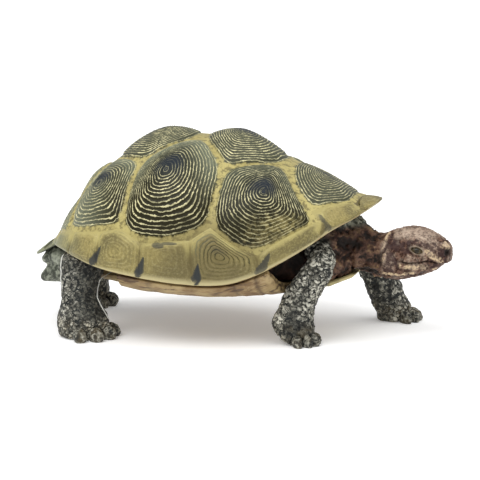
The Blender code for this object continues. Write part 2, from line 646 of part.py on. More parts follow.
def toe_shape(leg, index, grow=0.0):
    """One blunt toe: an egg shape pointing out of the foot."""
    length, width, height = (size + grow for size in leg["toe"])
    count = leg["toe_count"]
    offset = index - (count - 1) / 2
    turn = math.radians(offset * leg["toe_spread"])
    heading = math.radians(leg["heading"])
    fore = Vector((math.cos(heading), math.sin(heading), 0))
    side = Vector((-math.sin(heading), math.cos(heading), 0))
    base = Vector(leg["rings"][-2][:3])
    centre = (base + fore * leg["toe_reach"] * math.cos(turn)
              + side * leg["toe_side"] * math.sin(turn))
    centre.z = leg["toe"][2] * 0.72
    out = (fore * math.cos(turn * 0.75) + side * math.sin(turn * 0.75)).normalized()
    across = Vector((-out.y, out.x, 0))
    rings = []
    around, along = 8, 4
    for k in range(1, along):
        bend = math.pi * k / along
        reach = -math.cos(bend)
        ring = []
        for s in range(around):
            roll = 2 * math.pi * s / around
            droop = -0.5 * max(0.0, reach) ** 2
            swell = math.sin(bend) ** 0.8
            rise = droop + height * swell * math.sin(roll)
            ring.append(centre + out * length * reach + across * width * swell * math.cos(roll)
                        + Vector((0, 0, rise)))
        rings.append(ring)
    start = centre - out * length
    end = centre + out * length - Vector((0, 0, 0.5))
    return skin_rings(rings, start, end)


def shortened(stations, start=0.0, end=0.0):
    """The same path with a little taken off either end."""
    def pulled(a, b, amount):
        length = math.dist(a[:3], b[:3])
        return tuple(p + (q - p) * amount / length for p, q in zip(a, b))

    path = list(stations)
    if start:
        path[0] = pulled(path[0], path[1], start)
    if end:
        path[-1] = pulled(path[-1], path[-2], end)
    return path


def build_leg(name, leg, collection, cutters, trunk):
    """Thigh, shank, foot and toes of one leg, and the trunk's socket for them."""
    upper = limb_body(name + "_upper", leg["upper"], 3, SKIN_GREY, collection,
                      domed_start=2.0)
    lower = limb_body(name + "_lower", leg["lower"], 5, SKIN_GREY, collection,
                      domed_start=2.2)
    lower_room = limb_body("room_" + name + "_lower", leg["lower"], 5, None, cutters,
                           grow=SOCKET_GAP, domed_start=2.2)
    upper_room = limb_body("room_" + name + "_upper", leg["upper"], 3, None, cutters,
                           grow=SOCKET_GAP, domed_start=2.0)
    cut_away(upper, lower_room)
    cut_away(trunk, upper_room)
    cut_away(trunk, lower_room)
    points, faces = skin_rings(foot_rings(leg))
    foot = make_solid(name + "_foot", points, faces, SKIN_GREY, collection, floor=True)
    points, faces = skin_rings(foot_rings(leg, GAP))
    cut_away(lower, make_solid("room_" + name + "_foot", points, faces, None, cutters))
    for index in range(leg["toe_count"]):
        label = "%s_toe_%d" % (name, index + 1)
        points, faces = toe_shape(leg, index)
        make_solid(label, points, faces, TOE_DARK, collection, floor=True)
        points, faces = toe_shape(leg, index, GAP)
        room = make_solid("room_" + label, points, faces, None, cutters)
        cut_away(foot, room)


# ================================================================= head, neck and tail
def head_rings():
    """Sections of the head along X, widest at the cheeks and brow."""
    sides = 14
    rings = []
    for x, top, bottom, width, widest in HEAD:
        ring = []
        for s in range(sides):
            turn = 2 * math.pi * s / sides
            y = width * power(math.cos(turn), 0.85)
            tall = (top - widest) if math.sin(turn) > 0 else (widest - bottom)
            ring.append(Vector((x, y, widest + tall * power(math.sin(turn), 0.9))))
        rings.append(ring)
    return rings


def head_solid(name, collection):
    """The whole head, before the jaw is divided from it."""
    points, faces = skin_rings(head_rings(), None, Vector((HEAD_TIP[0], 0, HEAD_TIP[1])))
    return make_solid(name, points, faces, HEAD_BROWN, collection)


def jaw_block(name, clearance, collection):
    """The region of the lower jaw, as a slab across the head."""
    corner = MOUTH_CORNER_X + clearance
    level = MOUTH_HEIGHT - clearance
    outline = [(corner, level), (JAW_REACH, level), (JAW_REACH, JAW_DEPTH),
               (corner - JAW_SLOPE, JAW_DEPTH)]
    rings = [[Vector((x, y, z)) for x, z in outline] for y in (-JAW_SPAN, JAW_SPAN)]
    points, faces = skin_rings(rings)
    return make_solid(name, points, faces, None, collection)


def ball(name, centre, radius, paint, collection):
    """A faceted ball."""
    around, along = 12, 6
    rings = []
    for k in range(1, along):
        bend = math.pi * k / along
        rings.append([Vector(centre) + radius * Vector((
            math.sin(bend) * math.cos(2 * math.pi * s / around),
            -math.cos(bend),
            math.sin(bend) * math.sin(2 * math.pi * s / around))) for s in range(around)])
    pole = Vector((0, radius, 0))
    points, faces = skin_rings(rings, Vector(centre) - pole, Vector(centre) + pole)
    return make_solid(name, points, faces, paint, collection)


def build_head(collection, cutters):
    """Head and lower jaw divided at the mouth, and the eyes in their sockets."""
    head = head_solid("head", collection)
    jaw = head_solid("lower_jaw", collection)
    cut_away(head, jaw_block("room_jaw", -GAP / 2, cutters))
    cut_away(jaw, jaw_block("keep_jaw", GAP / 2, cutters), "INTERSECT")
    for side, name in ((1, "left"), (-1, "right")):
        centre = (EYE_CENTRE[0], side * EYE_CENTRE[1], EYE_CENTRE[2])
        ball("eye_" + name, centre, EYE_RADIUS, EYE_DARK, collection)
        cut_away(head, ball("room_eye_" + name, centre, EYE_RADIUS + GAP, None, cutters))


def build_neck_and_tail(collection, cutters, trunk):
    """Neck, rump fold and tail, with the trunk cut clear of them."""
    neck_path = shortened(NECK, end=0.7)
    limb_body("neck", neck_path, 7, HEAD_BROWN, collection, upright=True, domed_start=1.5)
    cut_away(trunk, limb_body("room_neck", NECK, 6, None, cutters, grow=SOCKET_GAP,
                              upright=True, domed_start=1.5))
    limb_body("rump", RUMP, 5, SKIN_GREY, collection, domed_start=1.0, domed_end=0.8)
    rump_room = limb_body("room_rump", RUMP, 5, None, cutters, grow=GAP + 0.1,
                          domed_start=1.0, domed_end=0.8)
    cut_away(trunk, rump_room)
    tail = limb_body("tail", TAIL, 6, SKIN_GREY, collection)
    cut_away(tail, rump_room)
    tail_path = [TAIL_ROOT] + TAIL
    cut_away(trunk, limb_body("room_tail", tail_path, 7, None, cutters, grow=SOCKET_GAP))


# ================================================================= whole figure
def clear_scene():
    """Start from an empty file."""
    for item in list(bpy.data.objects):
        bpy.data.objects.remove(item)
    for mesh in list(bpy.data.meshes):
        bpy.data.meshes.remove(mesh)


def main():
    """Build every piece of the figurine."""
    clear_scene()
    parts = bpy.data.collections.new("tortoise_figurine")
    cutters = bpy.data.collections.new("cutters")
    bpy.context.scene.collection.children.link(parts)
    bpy.context.scene.collection.children.link(cutters)
    build_carapace(parts, cutters)
    build_plastron(parts)
    trunk = build_trunk(parts)
    build_head(parts, cutters)
    build_neck_and_tail(parts, cutters, trunk)
    for name, leg in LEGS.items():
        build_leg(name, leg, parts, cutters, trunk)
    for cutter in cutters.objects:
        cutter.hide_render = True
        cutter.display_type = "WIRE"
    cutters.hide_render = True


main()
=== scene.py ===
"""Looks of the painted toy tortoise: shell, plastron, skin, eyes and toes round the CAD frame.

Tables and functions work in millimetres in the model's own frame, where X = 0 is CENTRE_X ahead
of the middle of the figure; everything is scaled and shifted once, when a mesh is made.
"""

import contextlib
import itertools
import math

import bmesh
import bpy
import numpy as np
from mathutils import Matrix, Vector, noise


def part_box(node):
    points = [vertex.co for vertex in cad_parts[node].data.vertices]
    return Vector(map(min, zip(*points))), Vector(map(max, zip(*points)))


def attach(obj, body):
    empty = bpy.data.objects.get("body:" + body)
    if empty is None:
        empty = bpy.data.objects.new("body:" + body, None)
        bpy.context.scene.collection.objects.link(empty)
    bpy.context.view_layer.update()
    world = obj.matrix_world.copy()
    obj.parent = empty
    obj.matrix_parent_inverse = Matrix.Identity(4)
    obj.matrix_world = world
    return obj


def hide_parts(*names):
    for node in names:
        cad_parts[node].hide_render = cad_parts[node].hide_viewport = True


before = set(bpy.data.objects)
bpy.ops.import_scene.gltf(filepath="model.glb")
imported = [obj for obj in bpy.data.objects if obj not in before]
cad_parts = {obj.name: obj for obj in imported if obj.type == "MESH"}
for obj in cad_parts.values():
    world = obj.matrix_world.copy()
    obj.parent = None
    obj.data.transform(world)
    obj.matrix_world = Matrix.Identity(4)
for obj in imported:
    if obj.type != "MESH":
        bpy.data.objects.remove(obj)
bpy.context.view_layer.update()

MM = 0.001
CENTRE_X = 9.05

# ---------------------------------------------------------------- shell, the named sizes
SHELL_FRONT = 57.0
SHELL_REAR = -52.5
TONGUE_REAR = -62.5
TONGUE_HALF_WIDTH = 9.0
WIDEST_X = -6.0
SHELL_HALF_WIDTH = 40.0
SHELL_THICKNESS = 2.3
OVAL_FRONT = (2.0, 1.9)        # exponents of the plan's oval, ahead of its widest place
OVAL_REAR = (2.4, 2.2)         # and behind it
TONGUE_OVERLAP = 4.0           # how far the tongue over the tail reaches into the oval
TONGUE_BLEND = 5.0             # a higher number makes a sharper corner between the two

RIM_LINE = [(-62.5, 22.3), (-56, 25.5), (-50, 28.4), (-43, 28.8), (-37, 27.5), (-31, 26.0),
            (-14, 23.3), (0, 21.8), (9, 21.5), (16, 22.1), (24, 24.8), (33, 29.7), (40, 34.2),
            (45, 37.8), (51, 41.0), (57, 44.9)]
RIDGE_LINE = [(-62.5, 22.6), (-58, 25.8), (-54.5, 29.0), (-50.3, 34.2), (-45.5, 42.8),
              (-40, 50.0), (-34, 55.2), (-17, 62.8), (-2.5, 65.0), (8, 63.6), (17, 60.9),
              (27.8, 56.8), (42, 49.6), (51, 45.8), (57, 45.1)]
FULLNESS_LINE = [(-62.5, 1.5), (-55, 1.35), (-47, 1.25), (-40, 1.42), (-30, 1.7), (-20, 1.9),
                 (57, 1.9)]

# Corners of the scutes on the half where angles are positive: (x, degrees down from the ridge).
CORNERS = {
    "nuchal_top": (50.5, 0), "nuchal_side": (50.5, 34),
    "v12_mid": (27.9, 0), "v12_end": (26.8, 16),
    "v23_mid": (-2.3, 0), "v23_end": (-0.8, 10),
    "v34_mid": (-34.0, 0), "v34_end": (-32.5, 13),
    "v45_mid": (-47.5, 0), "v45_end": (-47.5, 15),
    "v5_back": (-55.5, 0), "v5_corner": (-54.5, 32),
    "v1_c1": (38.8, 54), "v2_side": (10.3, 33), "v3_side": (-18.2, 29), "v4_side": (-41.5, 27),
    "v5_side": (-50.8, 40),
    "c1_front": (41.4, 67), "c1_low": (24.4, 80), "c12_low": (9.5, 66),
    "c2_m34": (3.5, 72.5), "c2_low": (-12.5, 75), "c23_low": (-20.0, 67.5),
    "c3_m56": (-27.5, 68), "c3_m67": (-38.5, 66), "c34_low": (-42.0, 62),
    "c4_m78": (-47.8, 60),
    "rim_0": (54.8, 90), "rim_1": (43.0, 90), "rim_2": (24.4, 90), "rim_3": (4.9, 90),
    "rim_4": (-12.8, 90), "rim_5": (-28.0, 90), "rim_6": (-40.0, 90), "rim_7": (-48.5, 90),
    "rim_8": (-54.0, 90),
    "beak": (57.0, 90), "tail_tip": (-62.5, 90),
}
SEAM_DEPTH = 0.45
DOMING = 1.5
CORNER_ROUNDING = 5.0

# Scutes: corners, umbo, rise, then the paint: growth rings, how black the rings are above and
# below the umbo, and the width of the pale border inside its seams.
MIDDLE_SCUTES = {
    "vertebral_1": (["nuchal_top", "nuchal_side", "v1_c1", "v12_end", "v12_mid"],
                    (38.0, 0), 1.2, 15, 0.80, 0.70, 0.9),
    "vertebral_2": (["v12_mid", "v12_end", "v2_side", "v23_end", "v23_mid"],
                    (10.0, -3), 3.7, 17, 0.92, 0.95, 0.8),
    "vertebral_3": (["v23_mid", "v23_end", "v3_side", "v34_end", "v34_mid"],
                    (-15.0, -3), 3.7, 17, 0.9, 0.9, 0.8),
    "vertebral_4": (["v34_mid", "v34_end", "v4_side", "v45_end", "v45_mid"],
                    (-40.0, 0), 1.1, 10, 0.85, 0.8, 0.9),
    "vertebral_5": (["v45_mid", "v45_end", "v5_side", "v5_corner", "v5_back"],
                    (-50.5, 0), 0.8, 7, 0.7, 0.6, 0.9),
    "nuchal": (["nuchal_top", "nuchal_side", "rim_0", "beak"], (53.5, 0), 0.2, 3, 0.25, 0.2, 0.5),
    "supracaudal": (["v5_back", "v5_corner", "rim_8", "tail_tip"],
                    (-57.5, 0), 0.3, 5, 0.3, 0.25, 0.5),
}
SIDE_SCUTES = {
    "costal_1": (["v2_side", "v12_end", "v1_c1", "c1_front", "c1_low", "c12_low"],
                 (23.8, 46.5), 2.8, 16, 1.0, 0.80, 0.8),
    "costal_2": (["v3_side", "v23_end", "v2_side", "c12_low", "c2_m34", "c2_low", "c23_low"],
                 (-6.4, 42.5), 3.2, 17, 1.0, 0.95, 0.8),
    "costal_3": (["v34_end", "v3_side", "c23_low", "c3_m56", "c3_m67", "c34_low", "v4_side"],
                 (-31.0, 39), 1.7, 14, 0.9, 0.80, 0.8),
    "costal_4": (["v4_side", "c34_low", "c4_m78", "v5_side", "v45_end"],
                 (-46.0, 42), 0.6, 7, 0.75, 0.65, 0.8),
    "marginal_1": (["nuchal_side", "v1_c1", "c1_front", "rim_1", "rim_0"],
                   (47.0, 68), 0.2, 5, 0.18, 0.12, 0.5),
    "marginal_2": (["c1_front", "c1_low", "rim_2", "rim_1"], (35.0, 83), 0.2, 5, 0.12, 0.1, 0.5),
    "marginal_3": (["c1_low", "c12_low", "c2_m34", "rim_3", "rim_2"],
                   (13.0, 78), 0.7, 7, 0.85, 0.30, 0.5),
    "marginal_4": (["c2_m34", "c2_low", "rim_4", "rim_3"], (-4.0, 79), 0.5, 5, 0.38, 0.15, 0.5),
    "marginal_5": (["c2_low", "c23_low", "c3_m56", "rim_5", "rim_4"],
                   (-20.5, 78), 0.7, 6, 0.42, 0.20, 0.5),
    "marginal_6": (["c3_m56", "c3_m67", "rim_6", "rim_5"], (-33.5, 78), 0.5, 5, 0.22, 0.15, 0.5),
    "marginal_7": (["c3_m67", "c34_low", "c4_m78", "rim_7", "rim_6"],
                   (-43.8, 76), 0.4, 5, 0.22, 0.15, 0.5),
    "marginal_8": (["c4_m78", "v5_side", "v5_corner", "rim_8", "rim_7"],
                   (-51.2, 70), 0.3, 4, 0.2, 0.15, 0.5),
}
SEAM_STEP = 0.6                # spacing of mesh points along a seam
ROW_STEP = 0.34                # spacing of mesh rows from umbo to seam
RING_HEIGHT = 0.17             # how far a growth ring stands up
RING_WIDTH = 0.17              # half width of its crest, as a share of the ring
RING_WANDER = [(11.0, 0.14), (3.2, 0.08), (1.1, 0.06), (0.6, 0.05)]  # wave's size, height
MARGIN_BORDER = 0.5            # pale border of the scutes along the rim
# Dark marks on the rim at the seams between marginals: shift along it, lean, strength.
RIM_MARKS = {1: (0.4, -0.75, 0.52), 2: (2.0, 0.45, 0.66), 3: (1.3, 0.10, 1.0),
             4: (0.7, 0.35, 0.95), 5: (0.0, 0.6, 0.9)}
MARK_HEIGHT = 6.6
MARK_WIDTH = 2.4
# Dark smears of paint: x, degrees down from the ridge, half length, half height in millimetres.
SMEARS = [(-6.5, 75.5, 1.9, 1.0), (-3.0, 74.5, 2.6, 0.5)]


# ================================================================= small tools
def smooth_line(x, points):
    """A smooth curve through (position, value) points, held at its ends; x may be an array."""
    positions = np.array([p[0] for p in points], float)
    values = np.array([p[1] for p in points], float)
    spans = np.diff(positions)
    slopes = np.diff(values) / spans
    tangents = np.empty(len(points))
    tangents[0] = slopes[0]
    tangents[-1] = slopes[-1]
    tangents[1:-1] = ((spans[1:] * slopes[:-1] + spans[:-1] * slopes[1:])
                      / (spans[1:] + spans[:-1]))
    x = np.clip(np.asarray(x, float), positions[0], positions[-1])
    i = np.clip(np.searchsorted(positions, x, side="right") - 1, 0, len(spans) - 1)
    t = (x - positions[i]) / spans[i]
    return ((1 + 2 * t) * (1 - t) ** 2 * values[i]
            + t * (1 - t) ** 2 * spans[i] * tangents[i]
            + t * t * (3 - 2 * t) * values[i + 1]
            + t * t * (t - 1) * spans[i] * tangents[i + 1])


def smooth_step(t):
    """0 below 0, 1 above 1, smooth between."""
    t = np.clip(t, 0.0, 1.0)
    return t * t * (3 - 2 * t)


def bell(value, width):
    """1 where value is 0, fading away on both sides over about width."""
    return np.exp(-(value / width) ** 2)


def power(value, exponent):
    """A power that keeps the sign of its value."""
    return np.sign(value) * np.abs(value) ** exponent


def waves(points, size, seed, count=9):
    """Smooth noise from -1 to 1 with features about size millimetres across."""
    chance = np.random.default_rng(seed)
    directions = chance.normal(size=(count, 3))
    directions /= np.linalg.norm(directions, axis=1, keepdims=True)
    turns = chance.uniform(0, 2 * math.pi, count)
    scales = 2 * math.pi / (size * chance.uniform(0.8, 2.0, count))
    total = np.zeros(len(points))
    for direction, turn, scale in zip(directions, turns, scales):
        total += np.sin(points @ direction * scale + turn)
    return total / math.sqrt(count)


def in_metres(points):
    """Points of the model's frame, in millimetres, as places in the scene."""
    return np.asarray(points, float) * MM - [CENTRE_X * MM, 0, 0]


def in_millimetres(places):
    """Places in the scene as points of the model's frame, in millimetres."""
    return places / MM + [CENTRE_X, 0, 0]


def read_array(items, label, width, kind=float):
    """One property of a mesh's points, edges, corners or faces, as rows of width numbers."""
    flat = np.empty(len(items) * width, kind)
    items.foreach_get(label, flat)
    return flat.reshape(-1, width) if width > 1 else flat


def mesh_points(mesh):
    """Points of a mesh in millimetres in the model's frame."""
    return in_millimetres(read_array(mesh.vertices, "co", 3))


def add_piece(name, mesh, material, attributes):
    """A smooth painted object from a mesh, with the numbers at each point that its paint reads."""
    mesh.name = name
    for label, values in attributes.items():
        layer = mesh.attributes.new(label, "FLOAT", "POINT")
        layer.data.foreach_set("value", np.asarray(values, np.float32))
    mesh.shade_smooth()
    mesh.materials.clear()
    mesh.materials.append(material)
    piece = bpy.data.objects.new(name, mesh)
    bpy.context.scene.collection.objects.link(piece)
    return piece


def make_piece(name, points, faces, material, attributes=None, uv=None):
    """A piece from points in millimetres; uv is the OFBake place of each point."""
    mesh = bpy.data.meshes.new(name)
    mesh.from_pydata(in_metres(points).tolist(), [], [tuple(face) for face in faces])
    if uv is not None:
        layer = mesh.uv_layers.new(name="OFBake")
        corners = read_array(mesh.loops, "vertex_index", 1, np.int32)
        layer.data.foreach_set("uv", np.asarray(uv, np.float32)[corners].ravel())
    return add_piece(name, mesh, material, attributes or {})


def loop_faces(first, rows, count, inward=False):
    """Quads between rows of count points, where every row is a closed loop."""
    faces = []
    for a in range(first, first + (rows - 1) * count, count):
        for i in range(count):
            j = (i + 1) % count
            quad = (a + i, a + j, a + count + j, a + count + i)
            faces.append((quad[0], *quad[:0:-1]) if inward else quad)
    return faces


def fan_faces(tip, first, count, inward=False):
    """Triangles from one point to the closed loop of count points that starts at first."""
    pairs = [(first + i, first + (i + 1) % count) for i in range(count)]
    return [(tip, b, a) if inward else (tip, a, b) for a, b in pairs]


def grid_faces(grid):
    """Quads of a grid of point numbers."""
    return np.stack([grid[:-1, :-1], grid[:-1, 1:], grid[1:, 1:], grid[1:, :-1]],
                    axis=-1).reshape(-1, 4)


def even_turns(count):
    """Angles that go evenly round a circle."""
    return 2 * np.pi * np.arange(count) / count


@contextlib.contextmanager
def editing(mesh):
    """The mesh opened for editing, and written back at the end."""
    work = bmesh.new()
    work.from_mesh(mesh)
    yield work
    work.to_mesh(mesh)
    work.free()


def fix_normals(piece):
    """Point all faces of a closed piece outward."""
    with editing(piece.data) as work:
        bmesh.ops.recalc_face_normals(work, faces=work.faces)


# ================================================================= shell surface
def half_width(x, inset=0.0):
    """Half width of the rim in plan: an oval with a narrow tongue over the tail."""
    x = np.asarray(x, float)
    front = np.clip((x - WIDEST_X) / (SHELL_FRONT - inset - WIDEST_X), 0, 1)
    rear = np.clip((x - WIDEST_X) / (SHELL_REAR + inset - WIDEST_X), 0, 1)
    front_arc = (1 - front ** OVAL_FRONT[0]) ** (1 / OVAL_FRONT[1])
    rear_arc = (1 - rear ** OVAL_REAR[0]) ** (1 / OVAL_REAR[1])
    oval = np.where(x > WIDEST_X, front_arc, rear_arc) * (SHELL_HALF_WIDTH - inset)
    start = SHELL_REAR + TONGUE_OVERLAP
    back = np.clip((x - start) / (TONGUE_REAR + inset - start), 0, 1)
    tongue = np.where(x < WIDEST_X, (TONGUE_HALF_WIDTH - inset) * (1 - back ** 2) ** 0.5, 0.0)
    return (oval ** TONGUE_BLEND + tongue ** TONGUE_BLEND) ** (1 / TONGUE_BLEND)


def dome_point(x, angle, inset=0.0):
    """Points of the shell at length x, angle degrees down from the ridge."""
    x = np.asarray(x, float)
    turn = np.radians(angle)
    exponent = 2.0 / smooth_line(x, FULLNESS_LINE)
    y = half_width(x, inset) * power(np.sin(turn), exponent)
    rim = smooth_line(x, RIM_LINE)
    ridge = smooth_line(x, RIDGE_LINE) - inset
    z = rim + np.maximum(0.0, ridge - rim) * np.maximum(0.0, np.cos(turn)) ** exponent
    return np.stack(np.broadcast_arrays(x, y, z), axis=-1)


def dome_normal(x, angle):
    """Outward directions of the shell surface."""
    x = np.clip(x, TONGUE_REAR + 1.0, SHELL_FRONT - 1.0)
    angle = np.clip(angle, -86.0, 86.0)
    along = dome_point(x + 0.4, angle) - dome_point(x - 0.4, angle)
    around = dome_point(x, angle + 1.5) - dome_point(x, angle - 1.5)
    normal = np.cross(along, around)
    normal /= np.maximum(np.linalg.norm(normal, axis=-1, keepdims=True), 1e-9)
    outward = dome_point(x, angle) - np.array([WIDEST_X, 0, 25.0])
    flip = np.where((normal * outward).sum(-1, keepdims=True) < 0, -1.0, 1.0)
    return normal * flip


def seam_points(corners, step):
    """Points along a scute's outline as (x, angle), spaced evenly along every seam."""
    outline = []
    for (xa, aa), (xb, ab) in zip(corners, corners[1:] + corners[:1]):
        share = np.arange(9) / 8
        samples = dome_point(xa + (xb - xa) * share, aa + (ab - aa) * share)
        length = np.linalg.norm(np.diff(samples, axis=0), axis=1).sum()
        steps = max(1, round(length / step))
        for k in range(steps):
            outline.append((xa + (xb - xa) * k / steps, aa + (ab - aa) * k / steps))
    return np.array(outline)


def outline_ratio(points, centre, corners, rounding, stretch):
    """1 on the scute's rounded outline, 0 at its umbo; also the seam's distance from the umbo.

    stretch is the length of one degree, so that the distance comes out in millimetres."""
    total = np.zeros(len(points))
    distance = np.zeros(len(points))
    for (xa, aa), (xb, ab) in zip(corners, corners[1:] + corners[:1]):
        nx, na = (ab - aa) * stretch, xa - xb
        size = math.hypot(nx, na)
        reach = ((xa - centre[0]) * nx + (aa - centre[1]) * stretch * na) / size
        part = ((points[:, 0] - centre[0]) * nx
                + (points[:, 1] - centre[1]) * stretch * na) / size
        if abs(reach) > 1e-6:
            share = np.maximum(0.0, part / reach) ** rounding
            total += share
            distance += share * abs(reach)
    return total ** (1 / rounding), distance / np.maximum(total, 1e-9)


def mirrored(corners):
    """Corners of the same scute on the other side."""
    return [(x, -a) for x, a in reversed(corners)]


def whole_outline(names):
    """Corners of a middle scute, from its one half."""
    half = [CORNERS[n] for n in names]
    return half + [(x, -a) for x, a in reversed(half) if a != 0]


# ================================================================= scutes
def ring_relief(phase, strength):
    """Height of the growth rings: narrow crests with broad valleys between."""
    across = phase - np.floor(phase) - 0.5
    return RING_HEIGHT * strength * bell(across, RING_WIDTH)


def scute_rows(outline, umbo, ratios, rows):
    """(x, angle) of a scute's mesh points row by row from the umbo, and their level there.

    Rows follow the rounded outline; the last one is the seam itself."""
    spots, level = [np.array([umbo], float)], [[0.0]]
    for row in range(1, rows + 1):
        share = np.minimum(row / rows / ratios, 1.0) if row < rows else np.ones(len(outline))
        spots.append(np.array(umbo) + (outline - np.array(umbo)) * share[:, None])
        level.append(share * ratios)
    return np.concatenate(spots), np.concatenate(level)


def scute_mesh(label, corners, umbo, rise, rings, above, below, pale):
    """One scute as points, faces, paint attributes and the (x, angle) of each point."""
    outline = seam_points(corners, SEAM_STEP)
    middle = dome_point(*umbo)
    stretch = np.linalg.norm(dome_point(umbo[0], umbo[1] + 8) - middle) / 8
    ratios, _ = outline_ratio(outline, umbo, corners, CORNER_ROUNDING, stretch)
    radius = np.linalg.norm(dome_point(*outline.T) - middle, axis=1).mean()
    rows = max(6, int(radius / ROW_STEP))
    spots, level = scute_rows(outline, umbo, ratios, rows)
    base = dome_point(*spots.T)
    drop = np.abs(spots[:, 1])
    # the rings' shape turns from an oval round the umbo into the scute's own outline
    square, reach = outline_ratio(spots, umbo, corners, CORNER_ROUNDING * 1.7, stretch)
    oval, _ = outline_ratio(spots, umbo, corners, CORNER_ROUNDING * 0.5, stretch)
    reach = np.maximum(reach, 2.0)
    blend = smooth_step(square * 1.1)
    shape = oval * 0.93 * (1 - blend) + square * blend
    border = (1 - square) * reach
    seed = sum(ord(letter) for letter in label)
    wander = sum(waves(base, size, seed + k) * height
                 for k, (size, height) in enumerate(RING_WANDER))
    phase = shape / (1 - pale / reach) * rings + wander * smooth_step(shape * 4)
    upper = smooth_step(0.5 + (np.abs(umbo[1]) - drop) / 30)
    black = above * upper + below * (1 - upper)
    # the dome of the scute, its rings, and the sunk seam round it
    edge = smooth_step((1.0 - level) / 0.09)
    lift = (SEAM_DEPTH + rise * (1 - np.minimum(level, 1.0) ** DOMING)) * edge
    relief = ring_relief(phase, 0.35 + 0.65 * black) * smooth_step((shape - 0.10) / 0.08)
    relief *= smooth_step((border - 0.3) / 0.8)
    lift = (lift + relief) * np.clip((90 - drop) / 6, 0, 1)
    points = base + dome_normal(*spots.T) * lift[:, None]
    count = len(outline)
    faces = fan_faces(0, 1, count) + loop_faces(1, rows, count, inward=True)
    attributes = scute_paint(label, spots, base, shape, upper)
    if label.startswith("costal"):
        black = black * (1 - 0.50 * bell(base[:, 0] - 29, 12) * smooth_step((drop - 50) / 14))
    attributes.update(ring=phase, level=shape, black=black, upper=upper, border=border - pale,
                      margin=np.full(len(points), 1.0 if pale == MARGIN_BORDER else 0.0))
    return points, faces, attributes, spots


def scute_paint(label, spots, base, shape, upper):
    """Paint attributes that depend on the place on the shell more than on the scute, painted sheen
    among them.
    """
    x, drop = base[:, 0], np.abs(spots[:, 1])
    rear = rear_sheen(label, base)
    # painted sheen on the upper part of each scute, away from its umbo, less of it towards the front
    sheen = 0.75 * upper * smooth_step((shape - 0.35) / 0.60)
    sheen = np.maximum(sheen * (1 - 0.65 * smooth_step((x - 6) / 8)), 0.7 * rear)
    return {
        "wedge": wedge_marks(spots, base),
        "rim": (1 - smooth_step((90 - drop) / 2.6)) * smooth_step((x + 54) / 3),
        "rear": rear,
        "sheen": sheen,
        "dusk": bell(x - 10, 20) * smooth_step((drop - 50) / 20),
    }


def rear_sheen(label, base):
    """Painted grey-green sheen towards the tail and a little along the back; at the tail's very end,
    grey-green paint.
    """
    start, length = (-30.0, 26.0) if label.startswith("marginal") else (-20.0, 22.0)
    sheen = smooth_step((start - base[:, 0]) / length)
    if label.startswith("vertebral"):
        sheen = np.maximum(sheen, 0.35)
    return np.where(base[:, 0] < -54.0, 1.0, sheen)


def wedge_marks(spots, base):
    """Dark spindles that rise from the rim at the seams between marginal scutes."""
    mark = np.zeros(len(spots))
    for k, (shift, slant, strength) in RIM_MARKS.items():
        x, angle = CORNERS["rim_%d" % k]
        foot = dome_point(x, angle)
        for side in (1, -1):
            offset = base - foot * np.array([1, side, 1])
            up = offset[:, 2] / MARK_HEIGHT
            lean = offset[:, 0] - shift - slant * (offset[:, 2] - MARK_HEIGHT / 2)
            taper = np.clip(1.05 - up, 0, 1) ** 0.8 * (0.35 + 0.65 * smooth_step(up / 0.32))
            width = MARK_WIDTH * np.maximum(taper, 0.03)
            inside = 1 - np.abs(lean) / width
            near = (np.abs(offset[:, 1]) < 14) & (up > -0.12) & (up < 1.02)
            mark = np.maximum(mark, np.where(near, np.clip(inside * 2.6, 0, strength), 0))
    for x, angle, half_long, half_high in SMEARS:
        for side in (1, -1):
            offset = base - dome_point(x, angle) * np.array([1, side, 1])
            reach = np.hypot(offset[:, 0] / half_long,
                             np.hypot(offset[:, 1], offset[:, 2]) / half_high)
            mark = np.maximum(mark, np.clip(1.4 - reach, 0, 0.6))
    return mark


def scute_group(name, members, material):
    """Several scutes joined in one piece."""
    points, faces, spots, attributes = [], [], [], {}
    start = 0
    for member in members:
        own_points, own_faces, own_attributes, own_spots = scute_mesh(*member)
        points.append(own_points)
        spots.append(own_spots)
        faces += [tuple(v + start for v in face) for face in own_faces]
        for key, values in own_attributes.items():
            attributes.setdefault(key, []).append(values)
        start += len(own_points)
    x, angle = np.concatenate(spots).T
    attributes = {key: np.concatenate(values) for key, values in attributes.items()}
    uv = np.stack([(x - TONGUE_REAR) / (SHELL_FRONT - TONGUE_REAR), (angle + 90) / 180], axis=1)
    piece = make_piece(name, np.concatenate(points), faces, material, attributes,
                       uv * 0.98 + 0.01)
    outward_and_welded(piece)
    return piece


def outward_and_welded(piece):
    """Weld the seams between scutes and point the faces away from the shell's middle."""
    middle = Vector(((WIDEST_X - CENTRE_X) * MM, 0, 20 * MM))
    with editing(piece.data) as work:
        bmesh.ops.remove_doubles(work, verts=work.verts, dist=0.00001)
        work.normal_update()
        wrong = [f for f in work.faces if f.normal.dot(f.calc_center_median() - middle) < 0]
        bmesh.ops.reverse_faces(work, faces=wrong)


def build_shell(material):
    """Carapace scutes in four pieces: the back, both flanks and the margin."""
    middle, right, left, margin = [], [], [], []
    for label, (names, umbo, *paint) in MIDDLE_SCUTES.items():
        group = middle if label.startswith("vertebral") else margin
        group.append((label, whole_outline(names), umbo, *paint))
    for label, (names, umbo, *paint) in SIDE_SCUTES.items():
        corners = [CORNERS[n] for n in names]
        costal = label.startswith("costal")
        (left if costal else margin).append((label, corners, umbo, *paint))
        other = (umbo[0], -umbo[1])
        (right if costal else margin).append((label + "_r", mirrored(corners), other, *paint))
    pieces = [scute_group("scutes_back", middle, material),
              scute_group("scutes_left", left, material),
              scute_group("scutes_right", right, material),
              scute_group("scutes_margin", margin, material)]
    for piece in pieces:
        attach(piece, "root")
    return pieces


